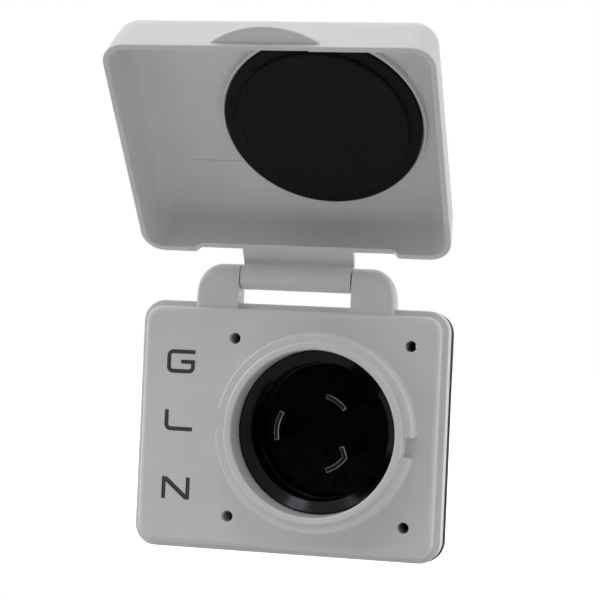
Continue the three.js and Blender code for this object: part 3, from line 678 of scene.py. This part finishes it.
    def notch_tool(self, turn: float) -> Piece:
        """The block that cuts one lock notch through the collar.

        Args:
            turn: Its angle from the first notch, in degrees.

        Returns:
            The block.
        """
        low = (self.lip, self.lip_y - 1, -self.notch / 2)
        high = (self.collar + 2, self.face_y, self.notch / 2)
        angle = math.radians(self.notch_turn + turn)
        place = Matrix.Translation((INLET_X, 0, 0)) @ Matrix.Rotation(-angle, 4, "Y")
        return block(low, high, place=place)

    def build_plate(self) -> None:
        """Joins the flange's solids and dresses them."""
        plate = self.panel()
        for side in (-1, 1):
            combine(plate, self.ear(side), Join.ADD)
        half, high, thick = self.catch
        low_z = -self.height / 2 + self.ledge
        y = self.face_y + self.edge[1]
        combine(plate, block((-half, y, low_z - high), (half, y + thick, low_z + 1), 0.2), Join.ADD)
        for turn in (0, 180):
            combine(plate, self.notch_tool(turn), Join.CUT)
        bore = [(self.pin_bore, -self.pin_seat), (self.pin_bore, self.ear_span / 2 + 1)]
        combine(plate, lathe(bore, steps=32, place=ON_PIN), Join.CUT)
        dress(plate, "flange_moulding", WHITE_ASA, Body.BOX, ["base_plate"])

    def build_gasket(self) -> None:
        """The foam gasket, with a tab behind each ear."""
        (right, up), t, soft = self.gasket_over, self.gasket_t, self.gasket_edge
        rows = [(soft - soft * math.cos(a), -t + soft - soft * math.sin(a))
                for a in (math.pi / 2, math.pi / 4, 0.0)] + [(0.0, 0.0)]
        body = Solid()
        front, foot = body.loft(
            [([(x + right, z + up) for x, z in self.outline(i)], y) for i, y in rows])
        hole = body.turn([(self.cutout, -t), (self.cutout, 0.0)], (INLET_X, 0.0), 128)
        pins = [body.turn([(self.pierced, -t), (self.pierced, 0.0)], c, 24) for c in self.holes()]
        body.fill(front, hole[0], *[p[0] for p in pins])
        body.fill(foot, hole[1], *[p[1] for p in pins])
        gasket = body.made("gasket")
        top, foot_z = HINGE_Z + self.ear_t / 2 - 2 * self.ear_edge, self.height / 2 - self.corner
        middle, width = (self.ear_span + self.ear_gap) / 4, (self.ear_span - self.ear_gap) / 2
        inset, corner, thin = self.gasket_tab
        # A corner as wide as half the tab, or wider, makes its outline cross itself.
        size = (width - 2 * inset, top - foot_z, width / 2 - corner)
        for side in (-1, 1):
            tab = rounded(*size, (side * middle, (top + foot_z) / 2))
            combine(gasket, prism([(tab, -t + thin), (tab, -thin)]), Join.ADD)
        dress(gasket, "foam_gasket", FOAM, Body.BOX, ["mounting_gasket"])

    def letter(self, name: str, middle: float, tall: float) -> list[Flat]:
        """Outline of one printed letter, in a plain wide stroke face.

        Args:
            name: The mark's name.
            middle: Height of its middle.
            tall: How tall it is.

        Returns:
            The outline.
        """
        (left, right), thick, r = self.letter_x, self.stroke, self.bend
        half = thick / 2
        x0, x1 = left + half, right - half
        low, high = middle - tall / 2 + half, middle + tall / 2 - half
        foot = arc((x0 + r, low + r), (r, r), 180, 270)
        if name == "mark_ground":
            bar, bar_x = middle - 0.1, x0 + 5.4 - half
            return ribbon([(x1 + half, high), *arc((x0 + r, high - r), (r, r), 90, 180), *foot,
                           *arc((x1 - r, low + r), (r, r), 270, 360), (x1, bar), (bar_x, bar)], half)
        if name == "mark_line":
            return ribbon([(x0, high + half), *foot, (x1 + half, low)], half)
        a, b, slant = low - half, high + half, 1.9
        return [(left, a), (left + thick, a), (left + thick, b - slant), (right - slant, a), (right, a),
                (right, b), (right - thick, b), (right - thick, a + slant), (left + slant, b), (left, b)]

    def build_marks(self) -> None:
        """The printed terminal letters."""
        for name, middle, tall in self.letters:
            outline = self.letter(name, middle, tall)
            body = Solid()
            ends = body.loft([(outline, self.face_y - self.ink_t), (outline, self.face_y + self.ink_t)])
            for end in ends:
                body.fill(end)
            dress(body.made(name), name, INK, Body.BOX)

    def build(self) -> None:
        """Builds every piece of the flange."""
        self.build_plate()
        self.build_gasket()
        self.build_marks()


# ---- lid ----------------------------------------------------------------------------------
@dataclass
class Lid:
    """The weather lid with its rubber seal, made shut and then swung open."""

    width: float = 117.0
    height: float = 93.4
    corner: float = 8.5
    wall: float = 2.2
    rim_y: float = -11.0
    floor_y: float = -32.0
    front_y: float = -33.95
    shoulder: float = 8.0
    shoulder_in: float = 6.05
    draft: float = 2.0
    rim_edge: float = 0.55
    rise: float = 0.4
    panel: tuple[float, float, float, float] = (-44.0, 44.0, -36.2, 19.6)
    panel_corner: float = 5.0
    relief: Point = (36.5, 3.0, -13.6)  # half-width, its slope's width, and depth
    arm_half: float = 20.9
    arm_t: float = 3.5
    arm_root: float = 53.1
    knuckle: float = 4.7
    pin: Flat = (1.5, 32.3)  # radius and half its length
    pin_bore: float = 1.8
    tab: Point = (37.8, 6.4, 1.4)
    tab_up: float = 2.0
    catch_half: float = 15.4
    catch_y: float = -15.1
    seal: float = 36.0
    seal_y: float = -29.7
    seal_t: float = 2.0
    bead: Point = (30.6, 2.2, 1.6)
    seat: Point = (0.4, 1.2, 1.4)  # the ring round the disc: its gap, wall and height
    ejectors: tuple[Flat, ...] = ((-41.3, 29.2), (41.3, 29.2))

    def outline(self, row: Flat, inside: bool = False) -> tuple[list[Flat], float]:
        """The lid's outline at one row of its profile, drawn in by the draft.

        Args:
            row: How far it is inset, and its depth.
            inside: True for the inner skin.

        Returns:
            The outline and its depth.
        """
        inset, y = row
        less = self.wall if inside else 0.0
        share = (self.rim_y - y) / (self.rim_y - self.front_y)
        points = rounded(self.width - 2 * (less + inset), self.height - 2 * (less + inset),
                         max(0.2, self.corner - less - inset), steps=12)
        x, z = 1 - 2 * self.draft * share / self.width, 1 - 2 * self.draft * share / self.height
        return [(px * x, pz * z) for px, pz in points], y

    def panel_rows(self, body: Solid, y: float, into: float) -> Ring:
        """Adds the stepped panel of the lid's floor or front.

        Args:
            body: The skin that it is part of.
            y: Depth of what surrounds it.
            into: How far the panel lies towards the front.

        Returns:
            Its outer ring.
        """
        left, right, low, high = self.panel
        centre = ((left + right) / 2, (low + high) / 2)
        rows = [(-0.15, 0.0), (0.0, 0.08), (0.12, 0.28), (0.35, into)]
        outlines = [(rounded(right - left - 2 * i, high - low - 2 * i, self.panel_corner - i, centre), y - d)
                    for i, d in rows]
        outer, inner = body.loft(outlines)
        body.fill(inner)
        return outer

    def shell(self) -> Piece:
        """Skins the lid's tray in one, from its floor over the rim to its front.

        Returns:
            The tray.
        """
        e, s, i = self.rim_edge, self.shoulder, self.shoulder_in
        start = self.front_y + s
        inside = arc((i, start), (i, i), 270, 180, 8)
        inside += arc((-e, self.rim_y - e), (e, e), 0, 90, 4)
        outside = arc((e, self.rim_y - e), (e, e), 90, 180, 4) + arc((s, start), (s, s), 180, 270, 10)
        rows = [self.outline(row, True) for row in inside] + [self.outline(row) for row in outside]
        body = Solid()
        floor, front = body.loft(rows)
        marks = []
        for centre in self.ejectors:
            mouth, dip = body.turn([(3.15, self.floor_y), (3.0, self.floor_y - 0.15)], centre, 40)
            body.fill(dip)
            marks.append(mouth)
        body.fill(floor, self.panel_rows(body, self.floor_y, self.rise), *marks)
        body.fill(front, self.panel_rows(body, self.front_y, self.rise))
        return body.made("shell")

    def arm(self) -> Piece:
        """The web out of the hinge side, with the knuckle at its end.

        Returns:
            The web.
        """
        inner, out = self.relief[2], self.relief[2] - self.arm_t
        wall = self.height / 2 - self.wall / 2
        k, rise = self.knuckle, self.arm_root - HINGE_Z
        low = math.degrees(math.atan2(rise, -math.sqrt(k ** 2 - rise ** 2)))
        profile = [(inner, wall), (inner, self.arm_root - 0.5), (inner + 0.5, self.arm_root)]
        profile += arc((HINGE_Y, HINGE_Z), (k, k), low + 360, 495, 36)
        profile += [(out, self.arm_root - self.arm_t / 2), (out, wall)]
        body = Solid()
        rings = [[body.bm.verts.new((x, y, z)) for y, z in profile] for x in (-self.arm_half, self.arm_half)]
        body.band(*rings)
        for ring in rings:
            body.cap(ring)
        # The edges round both ends, and not those that run across.
        rims = [edge for edge in body.bm.edges if abs(edge.verts[0].co.x - edge.verts[1].co.x) < 1]
        bmesh.ops.bevel(body.bm, geom=rims, offset=0.35, segments=3, profile=0.5, affect="EDGES")
        return body.made("arm")

    def finger_tab(self) -> Piece:
        """The round-ended tab out of the free end, flat towards the rim and softened in front.

        Returns:
            The tab.
        """
        wide, tall, thick = self.tab
        r = (wide ** 2 / 4 + tall ** 2) / (2 * tall)
        wall, base = -self.height / 2, self.rim_y - self.tab_up
        near = base - thick
        rows = []
        for inset, y in ((0.45, near), (0.12, near + 0.14), (0.0, near + 0.45), (0.0, base - 0.2),
                         (0.2, base)):
            reach = r - inset
            turn = math.degrees(math.acos((r - tall) / reach))
            tip = arc((0.0, wall - tall + r), (reach, reach), -90 - turn, -90 + turn, 40)
            rows.append(([*tip, (tip[-1][0], wall + 1.1), (tip[0][0], wall + 1.1)], y))
        return prism(rows)

    def tools(self) -> list[Piece]:
        """The solids that are cut out of the lid.

        Returns:
            The room for the ears, the catch's relief and the pin's bore.
        """
        half, slope, deep = self.relief
        top, past = self.height / 2, self.rim_y + 1
        relief = [(-half, deep), (half, deep), (half + slope, past), (-half - slope, past)]
        y_for_z = Matrix(((1, 0, 0, 0), (0, 0, 1, 0), (0, 1, 0, 0), (0, 0, 0, 1)))
        low_z = -top + self.wall
        bore = [(self.pin_bore, -self.arm_half - 1), (self.pin_bore, self.arm_half + 1)]
        return [
            prism([(relief, top - self.wall - 1), (relief, top + 1)], y_for_z),
            block((-self.catch_half, self.catch_y, low_z - 0.6), (self.catch_half, past, low_z + 1)),
            lathe(bore, steps=32, place=ON_PIN),
        ]

    def build_shell(self) -> None:
        """Joins the lid's solids, cuts them and dresses them."""
        lid = self.shell()
        gap, wall, high = self.seat
        r0, r1 = self.seal + gap, self.seal + gap + wall
        y0, y1, e = self.floor_y - 0.6, self.floor_y + high, 0.35
        seat = [(r0, y0), *arc((r0 + e, y1 - e), (e, e), 180, 90, 3)]
        seat += [*arc((r1 - e, y1 - e), (e, e), 90, 0, 3), (r1, y0)]
        combine(lid, loop_lathe(seat, (INLET_X, 0.0)), Join.ADD)
        combine(lid, self.arm(), Join.ADD)
        combine(lid, self.finger_tab(), Join.ADD)
        for tool in self.tools():
            combine(lid, tool, Join.CUT)
        lid.data.transform(about_hinge(LID_OPEN))
        dress(lid, "lid_moulding", WHITE_ASA, Body.LID, ["lid"])

    def build_seal(self) -> None:
        """The rubber disc, its middle raised behind a round bead."""
        radius, wide, high = self.bead
        y, back = self.seal_y, self.seal_y - self.seal_t
        field = y + 0.7 * high
        rows = [(self.seal, back), *arc((self.seal - 0.6, y - 0.6), (0.6, 0.6), 0, 90, 4)]
        rows += [(radius + wide / 2 + 0.3, y), (radius + wide / 2, y + 0.2)]
        rows += arc((radius, y + high * 0.45), (wide / 2, high * 0.55), 0, 150, 8)
        rows += [(radius - wide / 2 - 0.2, field)]
        seal = lathe(rows, (INLET_X, 0.0), steps=144)
        seal.data.transform(about_hinge(LID_OPEN))
        dress(seal, "rubber_seal_disc", RUBBER, Body.LID, ["lid_seal"])

    def build(self) -> None:
        """Builds the lid, its seal and the pin that it swings on."""
        self.build_shell()
        self.build_seal()
        (r, end), bevel = self.pin, 0.4
        rows = [(r - bevel, -end), (r, -end + bevel), (r, end - bevel), (r - bevel, end)]
        pin = lathe(rows, steps=40, place=ON_PIN)
        dress(pin, "steel_hinge_pin", ZINC, Body.BOX, ["hinge_pin"])


# ---- inlet --------------------------------------------------------------------------------
@dataclass(frozen=True)
class Blade:
    """One locking blade: where it stands on the blades' circle, and how far it runs round."""

    name: str
    angle: float
    spread: float
    hook: bool = False


@dataclass
class Inlet:
    """The black cup with its three locking blades."""

    cup: float = 25.65
    rim: float = 30.0
    rim_y: float = -15.4
    mouth_d: float = 2.3
    floor_y: float = -0.9
    floor_back: float = 1.6
    floor_flat: float = 8.0
    flange: Point = (36.6, -2.2, 0.8)
    tube: Point = (28.0, 25.6, 21.7)
    circle_r: float = 14.2
    blade_t: float = 1.7
    tip_y: float = -22.9
    block_y: float = 9.7
    tip_edge: float = 0.25
    pad: Point = (22.4, 10.6, 1.6)  # outer reach, width and thickness
    pad_hole: float = 2.2
    screw_r: float = 18.4
    hook_l: float = 4.0
    hook_turn: float = 110.0
    blades: tuple[Blade, ...] = (
        Blade("line", 56.9, 34), Blade("neutral", 171.3, 43), Blade("earth", -52.5, 35, True))

    def build_cup(self) -> None:
        """The cup: a sloping glossy mouth, a deep wall and a flat floor."""
        m, r, e = self.rim_y + self.mouth_d, 0.6, 0.3
        rows = [(self.floor_flat, self.floor_y), *arc((self.cup - r, self.floor_y - r), (r, r), 90, 0, 4)]
        rows += [(self.cup, m + 0.25), (self.cup + 0.12, m - 0.02), (self.rim - 0.65, self.rim_y + 0.22)]
        rows += arc((self.rim - e, self.rim_y + e), (e, e), 250, 360, 4)
        wide, front, back = self.flange
        outer, inner, end = self.tube
        rows += [(self.rim, front), (wide, front), (wide, back), (outer, back), (outer, end), (inner, end),
                 (inner, self.floor_back), (self.floor_flat, self.floor_back)]
        cup = lathe(rows, (INLET_X, 0.0), steps=144)
        dress(cup, "inlet_cup", BLACK_NYLON, Body.BOX, ["inlet_shell"])

    def path(self, blade: Blade) -> list[Flat]:
        """Points down the middle of a blade's section.

        Args:
            blade: The blade.

        Returns:
            The points, the hook's among them if it has one.
        """
        half = blade.spread / 2
        r = self.circle_r
        points = arc((INLET_X, 0.0), (r, r), blade.angle - half, blade.angle + half, 12)
        if blade.hook:
            turn = math.radians(self.hook_turn)
            x, z = points[-1]
            tip = (x + self.hook_l * math.cos(turn), z + self.hook_l * math.sin(turn))
            points = [*points[:-2], (x, z), tip]
        return points

    def build_blade(self, blade: Blade) -> None:
        """Builds a blade with a softened tip, and the pad behind the floor for its terminal.

        Args:
            blade: The blade.
        """
        path, half, tip_end = self.path(blade), self.blade_t / 2, self.tip_y + self.tip_edge
        rows = [(0.24, self.tip_y), (0.0, tip_end), (0.0, self.floor_back)]
        bar = prism([(ribbon(path, half - i, i), y) for i, y in rows])
        if blade.hook:
            path = path[:-2]
        tail = prism([(ribbon(path, half), self.floor_back - 0.5), (ribbon(path, half), self.block_y + 1)])
        combine(bar, tail, Join.ADD)
        out, wide, thick = self.pad
        near = (self.circle_r - half) * math.cos(math.radians(blade.spread / 2))
        body = Solid()
        outline = rounded(out - near, wide, 0.6, ((out + near) / 2, 0.0), 4)
        low, high = body.loft([(outline, self.block_y), (outline, self.block_y + thick)])
        bore = [(self.pad_hole, self.block_y), (self.pad_hole, self.block_y + thick)]
        hole = body.turn(bore, (self.screw_r, 0.0), 24)
        body.fill(low, hole[0])
        body.fill(high, hole[1])
        place = Matrix.Translation((INLET_X, 0, 0)) @ Matrix.Rotation(-math.radians(blade.angle), 4, "Y")
        combine(bar, body.made("pad", place), Join.ADD)
        node = "blade_" + blade.name
        made = dress(bar, "locking_" + node, NICKEL, Body.BOX, [node])
        for finish in (SHEARED, NICKEL_PAINTED_SHADE):
            made.data.materials.append(finish.material())
        for face in made.data.polygons:
            y = face.center.y / MM
            # The flat end takes the painted shade of the sheared end.
            if y < self.tip_y + 0.05:
                face.material_index = 1
            # The sides down in the cup take the painted shade.
            elif tip_end < y < self.floor_back:
                face.material_index = 2

    def build(self) -> None:
        """Builds the cup and its blades."""
        self.build_cup()
        for blade in self.blades:
            self.build_blade(blade)


# ---- behind the wall ----------------------------------------------------------------------
@dataclass(frozen=True)
class Screw:
    """A slotted pan-head screw, its head's underside at 0 and its tip towards -Y."""

    shank: float
    length: float
    head: float
    head_t: float
    slot: float
    pitch: float = 1.2

    def made(self, place: Matrix) -> Piece:
        """The screw with its rolled thread, domed head and slot.

        Args:
            place: Where it goes.

        Returns:
            The screw.
        """
        core = self.shank * 0.82
        rows = [(self.shank * 0.35, -self.length), (self.shank * 0.8, -self.length + 1.0)]
        y = -self.length + 1.3
        while y < -1.0:
            rows += [(core, y), (self.shank, y + self.pitch * 0.35), (core, y + self.pitch * 0.7)]
            y += self.pitch
        rows += [(core, -0.3), (self.shank, 0.0), (self.head - 0.15, 0.0), (self.head, 0.15)]
        wide, side = self.head, self.head_t * 0.45
        rows += [(wide, side), *arc((wide * 0.45, side), (wide * 0.55, self.head_t * 0.55), 0, 90, 6)[1:]]
        screw = lathe(rows, steps=32)
        low = (-self.head - 1, self.head_t * 0.5, -self.slot / 2)
        combine(screw, block(low, (self.head + 1, self.head_t + 1, self.slot / 2)), Join.CUT)
        screw.data.transform(place)
        return screw


@dataclass
class Rear:
    """The rear cover, its grommet, the cable clamp and the screws."""

    inner: float = 28.4
    outer: float = 30.6
    flange: Point = (36.6, 1.1, 4.1)
    end: float = 48.5
    end_t: float = 2.5
    cable: float = 7.0
    neck: float = 9.7
    lip: float = 12.3
    lip_t: float = 1.8
    clamp_y: Flat = (50.9, 61.9)
    clamp_half: float = 17.0
    saddle: Flat = (-17.3, -6.3)
    bar: Flat = (5.3, 11.0)
    screw_x: float = 12.5
    bar_hole: float = 1.8
    ring_r: float = 33.5
    cover_hole: float = 1.75
    head_y: float = 4.4
    cover_screw: Screw = Screw(1.45, 17.0, 2.6, 2.2, 0.8)
    clamp_screw: Screw = Screw(1.5, 23.0, 2.7, 2.2, 0.8)

    def seats(self) -> list[Flat]:
        """Centres of the four cover screws."""
        turns = [math.radians(angle) for angle in (45, 135, 225, 315)]
        return [(INLET_X + self.ring_r * math.cos(a), self.ring_r * math.sin(a)) for a in turns]

    def channel(self) -> Piece:
        """The round channel that the cable lies in."""
        low, high = self.clamp_y
        return lathe([(self.cable + 0.3, low - 1), (self.cable + 0.3, high + 1)], (INLET_X, 0.0), steps=64)

    def build_cover(self) -> None:
        """The cover over the terminals, with the saddle for the cable."""
        wide, front, back = self.flange
        f = 0.8
        rows = [(self.inner, front), (wide - 0.3, front), (wide, front + 0.3)]
        rows += [(wide, back - 0.3), (wide - 0.3, back)]
        rows += arc((self.outer + f, back + f), (f, f), 270, 180, 4)
        rows += arc((self.outer - 1, self.end - 1), (1.0, 1.0), 0, 90, 5)
        rows += [(self.neck + 0.3, self.end), (self.neck + 0.3, self.end - self.end_t),
                 (self.inner - 1, self.end - self.end_t), (self.inner, self.end - self.end_t - 1)]
        cover = loop_lathe(rows, (INLET_X, 0.0))
        low, high = self.saddle
        y0, y1 = self.clamp_y
        half = self.clamp_half
        tongue = block((INLET_X - half, self.end - 1, low), (INLET_X + half, y1 - 1, low + 4.5), 0.5)
        saddle = block((INLET_X - half, y0, low), (INLET_X + half, y1, high), 0.6)
        combine(cover, tongue, Join.ADD)
        combine(cover, saddle, Join.ADD)
        combine(cover, self.channel(), Join.CUT)
        bore = [(self.cover_hole, front - 1), (self.cover_hole, back + 1)]
        for centre in self.seats():
            combine(cover, lathe(bore, centre, steps=24), Join.CUT)
        dress(cover, "rear_cover_moulding", SATIN_NYLON, Body.BOX, ["rear_cover"])

    def build_clamp(self) -> None:
        """The bar over the cable, and its two screws."""
        y0, y1 = self.clamp_y
        low, high = self.bar
        bar = block((INLET_X - self.clamp_half, y0, low), (INLET_X + self.clamp_half, y1, high), 0.8)
        combine(bar, self.channel(), Join.CUT)
        middle = (y0 + y1) / 2
        bore = [(self.bar_hole, 0.0), (self.bar_hole, 20.0)]
        for side in (-1, 1):
            place = Matrix.Translation((INLET_X + side * self.screw_x, middle, 0)) @ STOOD_UP
            combine(bar, lathe(bore, steps=24, place=place), Join.CUT)
        dress(bar, "cable_clamp_bar", SATIN_NYLON, Body.BOX, ["cable_clamp"])
        for i, side in enumerate((-1, 1), 1):
            node = f"clamp_screw_{i}"
            under_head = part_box(node)[1].z / MM - self.clamp_screw.head_t
            seat = Vector((INLET_X + side * self.screw_x, middle, under_head))
            screw = self.clamp_screw.made(Matrix.Translation(seat) @ STOOD_UP)
            dress(screw, "slotted_" + node, ZINC, Body.BOX, [node])

    def build_grommet(self) -> None:
        """The rubber grommet in the end of the cover."""
        y0, y1 = self.end - self.end_t - 0.3, self.end + 0.3
        t, e = self.lip_t, 0.5
        rows = [(self.cable, y0 - t + e), (self.cable + e, y0 - t)]
        rows += arc((self.lip - e, y0 - t + e), (e, e), 270, 360, 3)
        rows += [(self.lip, y0), (self.neck, y0), (self.neck, y1), (self.lip, y1)]
        rows += arc((self.lip - e, y1 + t - e), (e, e), 0, 90, 3)
        rows += [(self.cable + e, y1 + t), (self.cable, y1 + t - e)]
        grommet = loop_lathe(rows, (INLET_X, 0.0), steps=96)
        dress(grommet, "cable_grommet_ring", RUBBER, Body.BOX, ["cable_grommet"])

    def build(self) -> None:
        """Builds every piece behind the wall."""
        self.build_cover()
        self.build_grommet()
        self.build_clamp()
        for i, (x, z) in enumerate(self.seats(), 1):
            node = f"cover_screw_{i}"
            # Each slot is left at another angle, as a hand-driven screw's is.
            place = Matrix.Translation((x, self.head_y, z)) @ Matrix.Rotation(0.7 * i, 4, "Y")
            dress(self.cover_screw.made(place), "slotted_" + node, ZINC, Body.BOX, [node])


def dress_hidden() -> None:
    """Gives the CAD nodes that stay their finishes."""
    finishes = {
        "sealing_ring": RUBBER, "contact_carrier": PHENOLIC, "terminal_block": PHENOLIC,
        "wire_clamp_": ZINC, "block_screw_": ZINC, "terminal_screw_line": BRASS,
        "terminal_screw_neutral": SILVERED, "terminal_screw_earth": GREEN,
    }
    for name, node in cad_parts.items():
        finish = next((f for start, f in finishes.items() if name.startswith(start)), None)
        if finish:
            node.data.materials.clear()
            node.data.materials.append(finish.material())
            log.info("%s: CAD node in %s", name, finish.name)


# ---- studio -------------------------------------------------------------------------------
@dataclass(frozen=True)
class Softbox:
    """A square soft light: where it stands, where it points, its size in metres and its power."""

    name: str
    place: Point
    aim: Point
    size: float
    power: float
    tint: str

    def build(self) -> None:
        """Adds the light."""
        lamp = bpy.data.lights.new(self.name, "AREA")
        lamp.shape, lamp.size, lamp.energy = "SQUARE", self.size, self.power
        lamp.color = linear(self.tint)[:3]
        made = bpy.data.objects.new(self.name, lamp)
        bpy.context.collection.objects.link(made)
        made.location = self.place
        made.visible_camera = False
        made.rotation_mode = "QUATERNION"
        made.rotation_quaternion = (Vector(self.aim) - Vector(self.place)).to_track_quat("-Z", "Y")


@dataclass
class Studio:
    """A pale floor in a white room, soft lights and the camera."""

    camera: Point = (0.151586, -0.68683, 0.040692)
    look: Point = (-0.216287, 0.976268, 0.010970)
    up: Point = (-0.041130, -0.020337, 0.998947)
    lens: float = 111.93
    room: float = 0.72  # brightness of the walls at the box's height
    overhead: float = 0.38  # how much brighter they are above, and darker below
    drop: float = 60.0  # the floor, below the box
    apron: float = 600.0  # the floor, out in front of the box's middle
    floor_size: Point = (12000.0, 6000.0, 400.0)  # across, deep, and its corners
    floor_glow: Flat = (0.1, 0.95)  # in front of the box, and behind it
    lights: tuple[Softbox, ...] = (
        Softbox("top_softbox", (-0.1, -0.25, 0.9), (0.0, 0.0, 0.05), 0.9, 0.3, "#F2F6FF"),
        Softbox("left_softbox", (-1.6, -0.6, 0.9), (0.0, 0.0, 0.03), 1.3, 7.0, "#F2F6FF"),
        Softbox("front_softbox", (0.05, -0.85, 1.15), (0.0, 0.0, 0.0), 0.3, 1.1, "#EFF4FF"),
    )

    def build_camera(self) -> None:
        """The camera, a little right of the box and just above its middle."""
        data = bpy.data.cameras.new("camera")
        data.lens, data.sensor_width = self.lens, 36.0
        data.clip_start, data.clip_end = 0.01, 50.0
        made = bpy.data.objects.new("camera", data)
        bpy.context.collection.objects.link(made)
        back = -Vector(self.look).normalized()
        right = Vector(self.up).cross(back).normalized()
        axes = Matrix((right, back.cross(right), back)).transposed().to_4x4()
        made.matrix_world = Matrix.Translation(self.camera) @ axes
        bpy.context.scene.camera = made

    def build_room(self) -> None:
        """The room: bright walls behind and above, falling to dark straight in front of the box."""
        world = bpy.data.worlds.new("white_room")
        bpy.context.scene.world = world
        world.use_nodes = True
        tree = world.node_tree
        tree.nodes.clear()
        way = add(tree, "SeparateXYZ", {"Vector": add(tree, "TexCoord").outputs["Generated"]})
        ahead = add(tree, "Math", {0: way.outputs["Y"], 1: 0.0}, operation="MINIMUM").outputs["Value"]
        dark = add(tree, "Math", {0: ahead, 1: ahead}, operation="MULTIPLY").outputs["Value"]
        wall = add(tree, "Math", {0: 1.0, 1: dark}, operation="SUBTRACT").outputs["Value"]
        above = ramp(tree, way.outputs["Z"], (-1.0, 1.0), (1 - self.overhead, 1 + self.overhead))
        lit = add(tree, "Math", {0: wall, 1: above}, operation="MULTIPLY").outputs["Value"]
        level = add(tree, "Math", {0: lit, 1: self.room}, operation="MULTIPLY").outputs["Value"]
        seen = add(tree, "LightPath").outputs["Is Camera Ray"]
        strength = add(tree, "Math", {0: level, 1: seen}, operation="MAXIMUM").outputs["Value"]
        glow = add(tree, "Background", {"Color": linear("#FFFFFF"), "Strength": strength})
        add(tree, "OutputWorld", {"Surface": glow.outputs["Background"]})
        scene = bpy.context.scene
        scene.view_settings.view_transform = "Standard"
        scene.view_settings.look = "None"

    def build_floor(self, low: float) -> None:
        """A pale floor a little below the box, which glows behind it as a white backdrop does.

        Args:
            low: Height of the box's lowest point, in metres.
        """
        body = Solid()
        middle = (0.0, self.apron - self.floor_size[1] / 2)
        body.cap(body.ring(rounded(*self.floor_size, middle), 0.0))
        # Laid flat, what was up in the outline comes to the front.
        laid = Matrix.Translation((0, 0, low / MM - self.drop)) @ STOOD_UP
        floor = body.made("floor", laid)
        floor.data.transform(Matrix.Scale(MM, 4))
        # White wall paint put on with a roller: matt, with a fine stipple.
        paint = bpy.data.materials.new("rolled_white_paint")
        paint.use_nodes = True
        tree = paint.node_tree
        tree.nodes.clear()
        at = add(tree, "TexCoord").outputs["Object"]
        stipple = add(tree, "TexNoise", {"Vector": at, "Scale": 400.0, "Detail": 3.0}).outputs["Fac"]
        bump = add(tree, "Bump", {"Height": stipple, "Distance": 0.0001, "Strength": 0.3})
        depth = add(tree, "SeparateXYZ", {"Vector": at}).outputs["Y"]
        skin = add(tree, "BsdfPrincipled", {
            "Base Color": linear("#B4B4B4"), "Roughness": 0.8, "Normal": bump.outputs["Normal"],
            "Emission Color": linear("#FFFFFF"),
            "Emission Strength": ramp(tree, depth, (0.1, 0.3), self.floor_glow),
        })
        add(tree, "OutputMaterial", {"Surface": skin.outputs["BSDF"]})
        floor.data.materials.append(paint)

    def build(self) -> None:
        """Builds the room, the floor, the lights and the camera."""
        self.build_room()
        self.build_floor(CAD_BOX[0].z)
        for light in self.lights:
            light.build()
        self.build_camera()


def main() -> None:
    """Builds the camera and lights and then each sub-assembly."""
    logging.basicConfig(level=logging.INFO, format="%(name)s %(message)s")
    for part in (Studio(), Flange(), Lid(), Inlet(), Rear()):
        log.info("building %s", type(part).__name__)
        part.build()
    dress_hidden()


if __name__ == "__main__":
    main()
